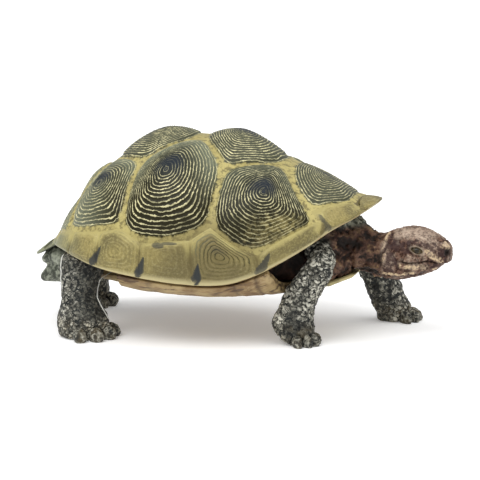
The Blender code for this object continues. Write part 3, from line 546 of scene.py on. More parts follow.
# ================================================================= plastron and shell inside
PLASTRON_LINE = [(-49, 19.6), (-40, 18.0), (-27, 16.7), (-15, 15.3), (0, 14.7), (15, 14.8),
                 (30, 15.7), (42, 17.3), (49.5, 20.2)]
LOBE_WIDTH_LINE = [(-49, 8), (-44, 12), (-37, 14), (-30, 17), (30, 16), (40, 12.5),
                   (46, 8.5), (50, 5.0)]
THICKNESS_LINE = [(-49, 1.6), (-38, 2.6), (36, 2.6), (46, 1.5), (50, 1.3)]
PLASTRON_REAR = -46.5
PLASTRON_FRONT = 49.5
BRIDGE_REAR = -24.0
BRIDGE_FRONT = 30.8
BRIDGE_BLEND = 3.6
BRIDGE_CURVE = 4.5
LIP_ROWS = 4                   # mesh rows of the shell's lip that have the rim's paint
# Seams across the plastron: x at the middle, and how far the seam sweeps forward at the side.
PLASTRON_SEAMS = [(38.0, 5.0), (27.0, -3.0), (19.0, -2.0), (-12.0, 2.0), (-31.0, 4.0)]


def bridge_share(x):
    """1 where the plastron reaches the rim, 0 where legs come out."""
    front = smooth_step((BRIDGE_FRONT - x) / BRIDGE_BLEND)
    rear = smooth_step((x - BRIDGE_REAR) / BRIDGE_BLEND)
    return front * rear


def plastron_half_width(x):
    """Half width of the plastron: its lobes at both ends, the shell's own at the bridges."""
    lobe = smooth_line(x, LOBE_WIDTH_LINE)
    bridge = half_width(x) - 0.9
    return lobe + (bridge - lobe) * bridge_share(x)


def plastron_low(x, y):
    """Height of the underside."""
    middle = smooth_line(x, PLASTRON_LINE)
    rim = smooth_line(x, RIM_LINE) - 1.5
    share = np.minimum(1.0, np.abs(y) / half_width(x))
    return middle + np.maximum(0.0, rim - middle) * share ** BRIDGE_CURVE


def plastron_high(x, y):
    """Height of the upper face, which stays below the carapace's rim."""
    lip = smooth_line(x, RIM_LINE) - 0.45
    return np.minimum(plastron_low(x, y) + smooth_line(x, THICKNESS_LINE), lip)


def seam_groove(x, y):
    """0 on a seam of the plastron, 1 away from it."""
    apart = np.abs(y)
    for middle, sweep in PLASTRON_SEAMS:
        bend = middle + sweep * smooth_step(np.abs(y) / 16)
        apart = np.minimum(apart, np.abs(x - bend))
    return smooth_step(apart / 0.8)


def build_plastron(material):
    """The flat lower shell with its bridges, its seams cut in and its edges rounded."""
    stations, across = 150, 96
    share = (1 - np.cos(np.pi * np.arange(stations + 1) / stations)) / 2
    x = PLASTRON_REAR + (PLASTRON_FRONT - PLASTRON_REAR) * share
    turn = np.sin(np.pi / 2 * (2 * np.arange(across + 1) / across - 1))
    xx, tt = np.meshgrid(x, turn, indexing="ij")
    yy = plastron_half_width(xx) * tt
    low = plastron_low(xx, yy)
    high = plastron_high(xx, yy)
    edge = np.minimum((1 - np.abs(tt)) * plastron_half_width(xx),
                      np.minimum(xx - PLASTRON_REAR, PLASTRON_FRONT - xx))
    rounding = (1 - smooth_step(edge / 1.2)) * (high - low) * 0.32
    flat = np.stack([xx.ravel(), yy.ravel(), low.ravel()], axis=1)
    wave = waves(flat * [1, 1, 0], 7.0, 51) * 0.07 + waves(flat * [1, 1, 0], 2.2, 52) * 0.05
    groove = seam_groove(xx, yy)
    low = low + rounding + (1 - groove) * 0.35 + wave.reshape(low.shape) * (edge > 0.4)
    high = high - rounding
    size = xx.size
    points = np.concatenate([np.stack([xx, yy, zz], axis=-1).reshape(-1, 3)
                             for zz in (low, high)])
    grid = np.arange(size).reshape(xx.shape)
    lower = grid_faces(grid)
    faces = lower.tolist() + (lower[:, [0, 3, 2, 1]] + size).tolist()
    border = np.concatenate([grid[:, 0], grid[-1, 1:], grid[-2::-1, -1], grid[0, -2:0:-1]])
    following = np.roll(border, -1)
    faces += np.stack([border, following, following + size, border + size], axis=1).tolist()
    gular = smooth_step((np.concatenate([xx.ravel()] * 2) - 36) / 5)
    attributes = {"groove": np.concatenate([groove.ravel()] * 2), "gular": gular}
    u = (points[:, 0] - PLASTRON_REAR) / (PLASTRON_FRONT - PLASTRON_REAR)
    v = 0.25 + points[:, 1] / 84 * 0.48 + np.repeat([0.0, 0.5], size)
    piece = make_piece("plastron_plates", points, faces, material, attributes,
                       np.stack([u * 0.98 + 0.01, v], axis=1))
    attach(piece, "root")
    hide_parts("plastron")
    return piece


def build_shell_inside(material):
    """The rounded lip under the rim and the hollow face of the carapace."""
    along, around, lip = 150, 36, 6
    share = (1 - np.cos(np.pi * np.arange(along + 1) / along)) / 2
    outer_x = TONGUE_REAR + (SHELL_FRONT - TONGUE_REAR) * share
    inner_x = outer_x + SHELL_THICKNESS * (1 - 2 * share)
    strips = []
    for side in (-1, 1):
        outer = dome_point(outer_x, 90.0 * side)
        inner = dome_point(inner_x, 90.0 * side, SHELL_THICKNESS)
        strips.append([outer + (inner - outer) * t - [0, 0, 0.35 * math.sin(math.pi * t)]
                       for t in np.arange(lip) / lip])
    dome = [dome_point(inner_x, angle, SHELL_THICKNESS)
            for angle in np.linspace(-90, 90, around + 1)]
    rows = strips[0] + dome + strips[1][::-1]
    points = np.concatenate(rows)
    faces = grid_faces(np.arange(len(points)).reshape(len(rows), along + 1))
    u, v = np.meshgrid(share, np.arange(len(rows)) / (len(rows) - 1))
    uv = np.stack([u.ravel(), v.ravel()], axis=1) * 0.98 + 0.01
    edge = np.zeros((len(rows), along + 1))
    edge[:LIP_ROWS] = 1.0
    edge[-LIP_ROWS:] = 1.0
    rear = smooth_step((-46.0 - points[:, 0]) / 4.0)
    piece = make_piece("carapace_inside", points, faces.tolist(), material,
                       {"edge": edge.ravel(), "rear": rear}, uv)
    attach(piece, "root")
    return piece


# ================================================================= skin, the named sizes
SKIN_VOXEL = 0.60              # spacing of the skin's mesh
SKIN_SWELL = 0.26              # closes the thin gaps between the solids before they are joined
SMOOTHING = 9
WALL_INSET = 7.5               # how far inside the rim the body wall stands
WALL_FRONT = 20.0
WALL_WIDTH_LINE = [(-47, 9.0), (-40, 13.0), (-27, 19.0), (20, 21.0), (28, 15.0), (36, 12.0),
                   (43, 12.0), (47.5, 10.0)]
WALL_REAR = -27.0
# Axis of each leg, from elbow or knee to sole.
LEG_AXES = {
    "front_right": [(44.6, -18.8, 32.5), (42.6, -19.6, 28.4), (39.2, -20.3, 22.2),
                    (36.4, -20.4, 17.8), (33.6, -20.0, 12.6), (32.5, -19.5, 6.0),
                    (33.2, -19.0, 0.5)],
    "front_left": [(46.6, 22.0, 24.6), (49.4, 24.0, 20.8), (51.8, 25.5, 16.2),
                   (53.3, 26.3, 11.6), (56.0, 26.8, 6.0), (57.8, 27.0, 0.5)],
    "hind_right": [(-36.6, -22.4, 27.4), (-37.4, -23.8, 20.0), (-37.2, -24.4, 15.4),
                   (-36.8, -25.0, 10.8), (-36.3, -25.3, 5.0), (-36.2, -25.4, 0.5)],
    "hind_left": [(-42.6, 20.6, 25.0), (-44.2, 21.6, 21.8), (-47.4, 23.0, 17.4),
                  (-50.6, 24.2, 13.4), (-52.8, 24.9, 8.0), (-53.0, 25.1, 0.5)],
}
# Balls that fill the joints at ankles and under the shell's tail end: centre and radius.
ANKLES = [((54.9, 26.5, 10.6), 5.5), ((53.6, 26.2, 13.2), 5.2), ((33.8, -20.0, 12.4), 5.0),
          ((-52.6, 24.8, 10.2), 5.9), ((-37.9, -24.9, 11.0), 6.2), ((-54.5, 1.5, 23.2), 3.4),
          ((-54.5, -2.5, 23.0), 3.2), ((-58.3, 0.0, 22.6), 2.2), ((-49.5, -6.0, 21.0), 3.6)]
EYE_CENTRE = np.array([69.9, 5.65, 29.6])
EYE_AXIS = np.array([0.12, 0.95, 0.27])
EYE_SIZE = (2.75, 2.05, 1.95)  # half length, half depth, half height of the eyeball
EYE_TILT = -16.0               # degrees; the front corner of the eye is lower
LID_OPENING = (1.85, 0.98)     # half length and half height between the lids
MOUTH_LINE = [(63.6, 26.6), (66.4, 26.0), (70.5, 26.1), (73.8, 26.7), (76.4, 25.9), (78.4, 25.5),
              (81.0, 25.7)]
NOSTRIL = np.array([79.4, 3.4, 29.3])
# Sculpted and painted strokes on each side of the head: side-view path (x, z), half width,
# lift in millimetres, then how far the paint turns gold, dark and pale.
HEAD_STROKES = {
    "brow": ([(66.8, 32.0), (69.2, 32.9), (72.2, 32.2), (74.6, 30.6)], 0.8, 0.32, 0.0, 0.85, 0.0),
    "above brow": ([(65.6, 34.6), (69.0, 34.7), (72.6, 33.9)], 0.9, 0.10, 0.0, 0.0, 1.0),
    "before eye": ([(73.2, 29.7), (75.0, 28.4), (77.0, 27.0)], 0.80, 0.18, 1.0, 0.0, 0.6),
    "snout dab": ([(77.2, 31.2), (77.8, 30.9)], 0.35, 0.08, 0.5, 0.0, 0.6),
    "under eye": ([(67.6, 28.3), (70.2, 27.4), (73.0, 27.7)], 0.45, 0.14, 0.35, 0.0, 0.5),
    "lip shadow": ([(73.4, 27.3), (75.2, 26.9)], 0.5, -0.05, 0.0, 0.8, 0.0),
    "lower lip": ([(64.8, 25.0), (68.6, 24.7), (72.8, 24.7)], 0.75, 0.18, 1.0, 0.0, 0.5),
    "lip end": ([(63.9, 25.8), (64.6, 25.2)], 0.5, 0.10, 0.5, 0.0, 0.4),
    "jaw edge": ([(59.0, 22.0), (64.5, 21.8), (68.8, 22.6)], 0.36, 0.26, 1.4, 0.0, 0.5),
    "under jaw": ([(61.0, 20.9), (66.0, 20.9), (71.0, 22.2)], 0.4, -0.12, 0.0, 0.5, 0.0),
    "ear": ([(59.3, 28.0), (59.0, 26.3)], 0.70, 0.20, 1.3, 0.0, 0.6),
    "crease": ([(61.3, 34.4), (60.5, 32.0), (59.3, 29.3), (58.3, 27.2), (57.6, 24.6)],
               0.38, -0.75, 0.0, 1.0, 0.0),
    "crease edge": ([(60.4, 34.9), (59.5, 32.3), (58.4, 29.8)], 0.42, 0.32, 0.9, 0.0, 0.4),
    "temple": ([(61.6, 31.6), (64.4, 31.2), (67.2, 31.4)], 1.45, -0.14, 0.0, 1.0, 0.0),
    "jowl": ([(61.3, 28.6), (61.2, 26.0), (60.6, 24.2)], 1.35, -0.10, 0.0, 0.85, 0.0),
    "eye corner": ([(66.4, 29.6), (67.5, 29.8)], 0.6, -0.05, 0.0, 0.7, 0.0),
    "cheek fold": ([(62.2, 28.2), (63.3, 26.4), (64.1, 24.2)], 0.55, -0.26, 0.0, 1.0, 0.0),
    "cheek foot": ([(59.8, 23.4), (62.4, 23.2)], 0.9, 0.0, 0.0, 0.9, 0.0),
    "nape spot": ([(63.7, 32.5), (64.1, 32.0)], 0.4, 0.10, 0.0, 0.0, 1.0),
    "chin spot": ([(75.2, 23.9), (76.0, 24.1)], 0.36, 0.16, 1.0, 0.0, 0.8),
    "jaw shade": ([(74.0, 25.0), (77.0, 24.6)], 0.8, 0.0, 0.0, 0.55, 0.0),
    "snout shade": ([(75.8, 31.2), (78.2, 28.2)], 1.3, 0.0, 0.0, 0.8, 0.0),
    # painted highlight on the nose
    "nose glint": ([(78.5, 31.9), (79.3, 30.9)], 0.52, 0.2, 2.4, 0.0, 1.6),
}


def eye_frame(side):
    """Centre and the length, outward and height directions of one eye."""
    flip = np.array([1, side, 1])
    out = EYE_AXIS / np.linalg.norm(EYE_AXIS)
    tilt = math.radians(EYE_TILT)
    along = np.array([math.cos(tilt), 0, math.sin(tilt)])
    along -= out * along.dot(out)
    along /= np.linalg.norm(along)
    up = np.cross(along, out)
    up *= np.sign(up[2])
    return EYE_CENTRE * flip, along * flip, out * flip, up * flip


# ================================================================= skin base
def add_swollen(work, node, swell):
    """Add a CAD node to work with its faces moved out a little."""
    part = bmesh.new()
    part.from_mesh(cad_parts[node].data)
    bmesh.ops.remove_doubles(part, verts=part.verts, dist=0.000001)
    part.normal_update()
    for vertex in part.verts:
        vertex.co += vertex.normal * swell * MM
    carrier = bpy.data.meshes.new("carrier")
    part.to_mesh(carrier)
    part.free()
    work.from_mesh(carrier)
    bpy.data.meshes.remove(carrier)


def add_loft(work, rings):
    """Add a closed loft of equal rings, given in millimetres."""
    rows = []
    for ring in rings:
        rows.append([work.verts.new(((x - CENTRE_X) * MM, y * MM, z * MM)) for x, y, z in ring])
    count = len(rows[0])
    faces = []
    for low, high in zip(rows, rows[1:]):
        for i in range(count):
            j = (i + 1) % count
            faces.append(work.faces.new((low[i], low[j], high[j], high[i])))
    faces.append(work.faces.new(rows[0]))
    faces.append(work.faces.new(rows[-1]))
    bmesh.ops.recalc_face_normals(work, faces=faces)


def add_ball(work, centre, radius):
    """Add a ball that fills a joint between two solids."""
    place = Matrix.Translation(((centre[0] - CENTRE_X) * MM, centre[1] * MM, centre[2] * MM))
    bmesh.ops.create_uvsphere(work, u_segments=24, v_segments=14, radius=radius * MM,
                              matrix=place)


def wall_rings(start, end):
    """The body wall between carapace and plastron, from x = start to the shell's end."""
    rings = []
    for x in np.linspace(start, end, 9):
        arc = dome_point(x, np.linspace(88, -88, 17), WALL_INSET)
        arc[:, 2] = np.minimum(arc[:, 2] + 4.0, smooth_line(x, RIM_LINE) + 7.0)
        limit = smooth_line(x, WALL_WIDTH_LINE)
        arc[:, 1] = np.clip(arc[:, 1], -limit, limit)
        width = np.abs(arc[0, 1])
        y = np.linspace(-width * 0.96, width * 0.96, 12)
        floor = plastron_high(x, y) + 0.3
        under = np.where(np.abs(y) < plastron_half_width(x) + 1.0, floor, floor + 1.5)
        base = np.stack([np.full(12, x), y, np.minimum(under, arc[0, 2] - 1.0)], axis=1)
        rings.append(np.concatenate([arc, base]).tolist())
    return rings


def voxel_joined(work, voxel):
    """One closed surface round everything in work."""
    mesh = bpy.data.meshes.new("joined")
    work.to_mesh(mesh)
    holder = bpy.data.objects.new("joined", mesh)
    bpy.context.scene.collection.objects.link(holder)
    modifier = holder.modifiers.new("remesh", "REMESH")
    modifier.mode = "VOXEL"
    modifier.voxel_size = voxel * MM
    graph = bpy.context.evaluated_depsgraph_get()
    result = bpy.data.meshes.new_from_object(holder.evaluated_get(graph))
    bpy.data.objects.remove(holder)
    bpy.data.meshes.remove(mesh)
    return result


def mesh_normals(mesh):
    """Outward directions at the points of a mesh."""
    return read_array(mesh.vertices, "normal", 3)


def set_points(mesh, points):
    """Move the points of a mesh to points in millimetres."""
    mesh.vertices.foreach_set("co", in_metres(points).ravel())
    mesh.update()


def mesh_edges(mesh):
    """Pairs of point numbers, one pair for each edge."""
    return read_array(mesh.edges, "vertices", 2, np.int32)


def smoothed(points, edges, rounds, amount=0.5):
    """Every point moves towards the middle of its neighbours, again and again."""
    count = len(points)
    ends = np.concatenate([edges[:, 0], edges[:, 1]])
    others = np.concatenate([edges[:, 1], edges[:, 0]])
    neighbours = np.maximum(np.bincount(ends, minlength=count), 1)
    for _ in range(rounds):
        middle = np.stack([np.bincount(ends, points[others, k], count) / neighbours
                           for k in range(points.shape[1])], axis=1)
        points = points + (middle - points) * amount
    return points


def refine(mesh, chosen):
    """Split in four the faces for which chosen(middles) is true, middles in millimetres."""
    with editing(mesh) as work:
        work.faces.ensure_lookup_table()
        middles = in_millimetres(np.array([face.calc_center_median() for face in work.faces]))
        near = [work.faces[i] for i in np.flatnonzero(chosen(middles))]
        edges = list({edge for face in near for edge in face.edges})
        bmesh.ops.subdivide_edges(work, edges=edges, cuts=1, use_grid_fill=True)
        bmesh.ops.triangulate(work, faces=[f for f in work.faces if len(f.verts) > 4])


def head_and_neck(middles):
    """True for the faces of the head and the neck."""
    return (middles[:, 0] > 43) & (np.abs(middles[:, 1]) < 11.5) & (middles[:, 2] > 17.5)


def near_eye(reach):
    """A test that is true for faces within reach of an eye."""
    def chosen(middles):
        centre, _, out, _ = eye_frame(1)
        return np.linalg.norm(both_sides(middles) - centre - out * 2.0, axis=1) < reach
    return chosen


def near_mouth_or_nostril(middles):
    """True for faces along the mouth and round the nostrils."""
    mouth = np.abs(middles[:, 2] - smooth_line(middles[:, 0], MOUTH_LINE)) < 0.9
    nostril = np.linalg.norm(both_sides(middles) - NOSTRIL, axis=1) < 2.2
    return (mouth & (middles[:, 0] > 63.0) & (np.abs(middles[:, 1]) < 11)) | nostril


def skin_base():
    """The joined, smoothed flesh without any detail yet."""
    work = bmesh.new()
    names = ["rump", "neck", "head", "lower_jaw", "tail"]
    names += [leg + part for leg in LEG_AXES for part in ("_upper", "_lower", "_foot")]
    for name in names:
        add_swollen(work, name, SKIN_SWELL)
    for name in ("eye_left", "eye_right"):
        add_swollen(work, name, SKIN_SWELL + 0.12)
    for centre, radius in ANKLES:
        add_ball(work, centre, radius)
    add_loft(work, wall_rings(WALL_FRONT, 47.5))
    add_loft(work, wall_rings(WALL_REAR, -47.0))
    mesh = voxel_joined(work, SKIN_VOXEL)
    work.free()
    set_points(mesh, smoothed(mesh_points(mesh), mesh_edges(mesh), SMOOTHING))
    for chosen in (head_and_neck, near_mouth_or_nostril, near_eye(3.8), near_eye(3.0)):
        refine(mesh, chosen)
        set_points(mesh, smoothed(mesh_points(mesh), mesh_edges(mesh), 2))
    return mesh


# ================================================================= skin detail
def axis_position(points, axis):
    """Distance from a leg's axis, position along it and the nearest place on it."""
    axis = np.array(axis)
    best = np.full(len(points), 1e9)
    along = np.zeros(len(points))
    foot = np.zeros_like(points)
    start = 0.0
    for a, b in zip(axis, axis[1:]):
        step = b - a
        length = np.linalg.norm(step)
        t = np.clip((points - a) @ step / length ** 2, 0, 1)
        place = a + t[:, None] * step
        distance = np.linalg.norm(points - place, axis=1)
        closer = distance < best
        best = np.where(closer, distance, best)
        along = np.where(closer, start + t * length, along)
        foot = np.where(closer[:, None], place, foot)
        start += length
    return best, along, foot


def grain(points, size, octaves, which, ridged=False):
    """Natural noise at the points chosen by which: about -1 to 1, or 0 to 1 ridged."""
    result = np.zeros(len(points))
    for i in np.flatnonzero(which):
        place = Vector(points[i] / size)
        if ridged:
            height = noise.ridged_multi_fractal(place, 0.8, 2.1, octaves, 1.0, 1.6)
            result[i] = max(0.0, (height - 0.35) / 1.25) ** 1.3
        else:
            result[i] = noise.fractal(place, 0.7, 2.1, octaves) * 1.3
    return result


def stroke_share(points, path, half):
    """1 on a side-view path, fading to 0 a little outside its half width."""
    flat = points[:, [0, 2]]
    best = np.full(len(points), 1e9)
    for start, end in zip(path, path[1:]):
        start, end = np.array(start), np.array(end)
        step = end - start
        t = np.clip((flat - start) @ step / step.dot(step), 0, 1)
        best = np.minimum(best, np.linalg.norm(flat - start - t[:, None] * step, axis=1))
    return np.exp(-(best / half) ** 2 * 0.8)


def both_sides(points):
    """The points with Y made positive, so that a detail lands on both sides."""
    return points * [1, 0, 1] + np.abs(points) * [0, 1, 0]


def leg_distance(points):
    """How far each point is from the nearest leg's axis."""
    return np.min([axis_position(points, axis)[0] for axis in LEG_AXES.values()], axis=0)


def skin_regions(mirror):
    """How much each point belongs to the head, the neck, the tail and the legs."""
    x, y, z = mirror.T
    middle = (1 - smooth_step((y - 10.5) / 1.5)) * smooth_step((z - 17.0) / 1.5)
    head = smooth_step((x - 57.3) / 2.2) * middle
    neck = smooth_step((x - 38.0) / 5.0) * (1 - head) * (1 - smooth_step((y - 11.0) / 2.5))
    tail = smooth_step((-46.0 - x) / 3.0) * (1 - smooth_step((y - 9.0) / 3.0))
    return head, neck, tail, np.clip(1 - head - neck - tail, 0, 1)


def head_strokes(points, mirror, lumps, head):
    """Lift of the strokes on the head, and how gold, dark and pale its paint is; the dark includes
    painted shade.
    """
    x, y, z = mirror.T
    side = smooth_step((y - 1.2) / 1.6)
    ragged = 1 + 1.3 * grain(points + 80.0, 1.0, 3, head > 0.01) + 0.4 * lumps
    lift = np.zeros(len(points))
    tones = np.zeros((len(points), 3))
    for path, half, rise, *tone in HEAD_STROKES.values():
        share = stroke_share(points, path, half) * side * smooth_step((x - 55.5) / 1.5)
        lift += share * rise
        tones = np.maximum(tones, np.clip(share * 1.15 * ragged, 0, 1)[:, None] * tone)
    gold, dark, pale = tones.T
    crown = smooth_step((z - 32.6) / 1.8) * smooth_step((x - 61) / 2.0)
    crown *= 0.76 - 0.46 * smooth_step((z - 35.0) / 1.8)
    crown *= 1 - 0.75 * smooth_step((x - 74.0) / 3.0)
    # painted shade along the front edge of the snout; the throat behind the jaw is darker too
    nose = smooth_step((x - 79.3) / 0.8) * smooth_step(y / 3.0) * 0.8
    throat = smooth_step((60.5 - x) / 2.5) * smooth_step((29.0 - z) / 3.0) * 0.7
    return lift, gold, np.maximum(dark, np.maximum(nose, throat)), np.maximum(pale, crown)


def mouth_and_nose(mirror, head):
    """Lift at the mouth, the beak and the nostrils, and how black the paint is there."""
    x, z = mirror[:, 0], mirror[:, 2]
    above = z - smooth_line(x, MOUTH_LINE)
    in_mouth = smooth_step((x - 64.2) / 1.2) * head
    mouth = bell(above, 0.30) * in_mouth
    beak = smooth_step((x - 75.5) / 3.0) * head
    hole = np.linalg.norm((mirror - NOSTRIL) * [1.0, 0.6, 0.9], axis=1)
    nostril = bell(hole, 0.95)
    lift = bell(above - 0.8, 0.5) * in_mouth * 0.16 - mouth * 0.55
    lift += beak * (bell(above - 0.9, 0.7) * 0.25 - smooth_step(-above / 0.5) * 0.55)
    lift += head * 0.16 * bell(hole - 1.5, 0.4) - nostril * 0.9
    return lift, nostril * 2.0 + mouth * 0.75


def skin_detail(points, normals):
    """Displaced points and the paint attributes of the skin."""
    mirror = both_sides(points)
    x, _, z = mirror.T
    head, neck, tail, legs = skin_regions(mirror)
    everywhere = np.ones(len(points), bool)
    lumps = grain(points, 3.2, 3, everywhere)
    pebble = grain(points + 50.0, 1.15, 3, everywhere)
    lift = (pebble * 0.14 + lumps * 0.10) * legs * smooth_step((z - 0.3) / 0.8)
    # folds of the neck: ragged ridges that run along it, and wrinkles across them
    soft = head + neck > 0.01
    bent = points + np.stack([lumps, lumps, -lumps], axis=1) * 1.2
    folds = grain(bent * [0.50, 1.0, 1.0], 4.2, 3, soft, ridged=True)
    wrinkles = grain(bent * [1.5, 0.8, 0.8] + 20.0, 3.4, 2, soft, ridged=True)
    folded = np.clip(0.65 * folds + 0.35 * wrinkles, 0, 1.2)
    lift += ((folded - 0.5) * 1.25 + lumps * 0.30) * neck
    lift += neck * 0.55 * bell((x - 51.8) - (z - 30.0) * 0.35, 1.3)
    # rump and tail: round folds over the root, flat facets on the tail
    swells = grain(points * [1, 0.7, 1] + 9.0, 3.6, 2, tail > 0.01, ridged=True)
    rump = smooth_step((z - 18.8) / 1.0)
    lift += tail * ((swells - 0.5) * 0.8 * rump + pebble * 0.05)
    tail_crest = ((0.3 * pebble + 0.5 * swells + 0.25) * rump
                  + (0.30 + 0.4 * pebble) * (1 - rump))
    crest = legs * (0.5 + 0.5 * pebble) + neck * folded + tail * tail_crest
    collar = smooth_step((z - 35.5) / 2.5) * neck
    # the head: fine wrinkles, then its strokes, mouth, nostrils and lids
    fine = grain(bent, 1.9, 3, soft, ridged=True)
    lift += head * (pebble * 0.08 + (fine - 0.5) * 0.34 + lumps * 0.16)
    crest += head * (fine * 0.85 + 0.05 + 0.3 * pebble)
    stroke_lift, gold, dark, pale = head_strokes(points, mirror, lumps, head)
    mouth_lift, black = mouth_and_nose(mirror, head)
    moved = points + normals * (lift + stroke_lift + mouth_lift)[:, None]
    lid = np.zeros(len(points))
    for side in (1, -1):
        moved, ring_mark, hole_mark = open_lids(moved, side)
        lid = np.maximum(lid, ring_mark)
        black = black + hole_mark
    moved[:, 2] = np.maximum(moved[:, 2], 0.0)
    # painted shade on the body wall inside the shell's openings, away from the legs
    pocket_shade = smooth_step((leg_distance(points) - 7.2) / 1.2) * smooth_step((z - 12.0) / 3.0)
    return moved, {
        "crest": np.clip(crest, 0, 1),
        "brown": np.clip(head + neck - 0.8 * collar, 0, 1),
        "head": head,
        "tail": np.maximum(tail, collar),
        "foot": smooth_step((9.0 - z) / 4.0) * legs,
        "lid": lid,
        "black": np.clip(black, 0, 1),
        "gold": gold * head,
        "pale": np.clip(pale, 0, 1) * head,
        # dark paint patches of the head, and its painted shade
        "shade": dark * head,
        "pocket_shade": np.minimum(pocket_shade, legs),
    }


def open_lids(points, side):
    """Part the skin over one eye into an upper and a lower lid."""
    centre, along, out, up = eye_frame(side)
    offset = points - centre
    u, w, v = offset @ along, offset @ out, offset @ up
    near = (w > 0) & (np.abs(u) < 5.5) & (np.abs(v) < 4.5)
    spread = ((np.abs(u) / LID_OPENING[0]) ** 1.75
              + (np.abs(v) / LID_OPENING[1]) ** 1.75) ** (1 / 1.75)
    ball = 1 - (u / EYE_SIZE[0]) ** 2 - (v / EYE_SIZE[2]) ** 2
    surface = EYE_SIZE[1] * np.sqrt(np.maximum(ball, 0.0))
    outside = smooth_step((spread - 0.96) / 0.10)
    lifted = np.maximum(w, surface + 0.22) + 0.20 * bell(spread - 1.25, 0.2)
    crease = 0.22 * bell(spread - 1.75, 0.16)
    target = (surface - 0.35) * (1 - outside) + (lifted - crease) * outside
    weight = np.where(near, smooth_step((3.0 - spread) / 1.0), 0.0)
    moved = points + out * ((target - w) * weight)[:, None]
    mark = np.where(near, bell(spread - 1.22, 0.24), 0.0)
    hole = np.where(near, 1 - outside, 0.0)
    return moved, mark, hole


def chart_place(points, homes, index):
    """OFBake place of points on chart index; homes keep a face on one side of the chart's cut."""
    if index < 4:
        axis = list(LEG_AXES.values())[index]
        turn, reach = leg_turn(points, axis)
        home_turn, _ = leg_turn(homes, axis)
    else:
        turn, reach = body_turn(points, index == 4)
        home_turn, _ = body_turn(homes, index == 4)
    turn = home_turn + (turn - home_turn + 0.5) % 1.0 - 0.5
    column, row = index % 3, index // 3
    u = (column + 0.04 + 0.92 * np.clip(turn, -0.02, 1.02)) / 3
    v = (row + 0.03 + 0.94 * np.clip(reach, 0, 1)) / 2
    return np.stack([u, v], axis=1)


def skin_map(mesh, points):
    """OFBake: one chart round each leg, one round head and neck, one round the rear."""
    corners = read_array(mesh.loops, "vertex_index", 1, np.int32)
    sizes = read_array(mesh.polygons, "loop_total", 1, np.int32)
    middles = in_millimetres(read_array(mesh.polygons, "center", 3))
    chart = np.where(middles[:, 0] > 0, 4, 5)
    for index, axis in enumerate(LEG_AXES.values()):
        distance, along, _ = axis_position(middles, axis)
        chart = np.where((distance < 10.5) & (along > 1.0), index, chart)
    face_of = np.repeat(np.arange(len(sizes)), sizes)
    uv = np.zeros((len(corners), 2))
    for index in range(6):
        here = chart[face_of] == index
        uv[here] = chart_place(points[corners[here]], middles[face_of[here]], index)
    layer = mesh.uv_layers.new(name="OFBake")
    layer.data.foreach_set("uv", uv.astype(np.float32).ravel())


def leg_turn(points, axis):
    """Turn round a leg's axis from 0 to 1, and the way along it in millimetres."""
    distance, along, foot = axis_position(points, axis)
    offset = points - foot
    turn = np.arctan2(offset[:, 1], offset[:, 0]) / (2 * np.pi) + 0.5
    flat = np.where(points[:, 2] < 1.0, 5.0 - np.minimum(distance, 5.0), 0.0)
    return turn, (along + flat * 0.6) / 36.0


def body_turn(points, ahead):
    """Turn round the body's long axis, and the way from its end back to the body wall."""
    middle = 27.0 if ahead else 22.0
    offset = points - [0, 0, middle]
    turn = np.arctan2(offset[:, 1], offset[:, 2]) / (2 * np.pi) + 0.5
    radius = np.hypot(offset[:, 1], offset[:, 2])
    reach = (81 - points[:, 0] + radius) / 90 if ahead else (62 + points[:, 0] + radius) / 70
    return turn, reach


def build_skin(material):
    """One skin over all the flesh, with its folds, lids, mouth and nostrils."""
    mesh = skin_base()
    points = mesh_points(mesh)
    normals = mesh_normals(mesh)
    skin_map(mesh, points)
    moved, attributes = skin_detail(points, normals)
    set_points(mesh, moved)
    skin = add_piece("skin", mesh, material, attributes)
    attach(skin, "root")
    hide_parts("trunk", "rump", "neck", "head", "lower_jaw", "tail")
    for leg in LEG_AXES:
        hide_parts(leg + "_upper", leg + "_lower", leg + "_foot")
    return skin


# ================================================================= scales of the legs
# For each leg: how far apart its scales are, how much longer than wide, how far they stand up.
LEG_SCALES = {
    "front_right": (2.5, 0.62, 0.42),
    "front_left": (1.4, 2.6, 0.28),
    "hind_right": (1.35, 1.25, 0.13),
    "hind_left": (1.5, 1.25, 0.15),
}
SCALE_REACH = (7.6, 11.0)      # how far from a leg's axis scales grow, above and below the ankle
SCALE_ANKLE = 12.0             # height of the ankle
SCALE_INNER = 14.5             # how far from the figure's middle they stay
SCALE_SIDES = 10
SCALE_ROOT = 0.2               # how deep the plates are set into the skin
SCALE_GAP = 0.97               # share of its own ground that a plate covers
SCALE_RINGS = [(1.0, 0.50), (0.90, 0.93), (0.55, 1.0)]  # share of radius, share of height
PLATE_CURVE = 14.0             # millimetres; a plate bends down towards its rim over it
PLATE_PATCH = 0.003            # size of one plate's patch on the OFBake map
# The near front leg's axis from the side: height, x.
SHANK_LINE = [(0, 32.5), (12.6, 33.6), (17.8, 36.4), (22.2, 39.2), (28.4, 42.6)]


def scale_size(points, leg):
    """Spacing of the scales: large on the outer face of the shank, small on the foot."""
    size = LEG_SCALES[leg][0]
    foot = smooth_step((8.5 - points[:, 2]) / 3.0)
    outer = np.ones(len(points))
    if leg == "front_right":
        offset = points[:, 0] - smooth_line(points[:, 2], SHANK_LINE)
        outer = 1.30 - 0.5 * smooth_step((offset + 3.0) / 4.0)
    return size * (outer * (1 - foot) + 0.72 * foot)


def scattered(points, sizes, squash, seed):
    """Indices of points that keep about their own size apart, in a space squashed along a leg."""
    placed = points @ squash.T
    order = np.random.default_rng(seed).permutation(len(points))
    reach = sizes.max()
    cells = {}
    chosen = []
    for i in order:
        key = tuple(np.floor(placed[i] / reach).astype(int))
        around = itertools.product(*[(k - 1, k, k + 1) for k in key])
        near = [j for cell in around for j in cells.get(cell, ())]
        apart = ((placed[near] - placed[i]) ** 2).sum(axis=1)
        if not near or apart.min() >= sizes[i] ** 2 * 0.8:
            cells.setdefault(key, []).append(i)
            chosen.append(i)
    return np.array(chosen)


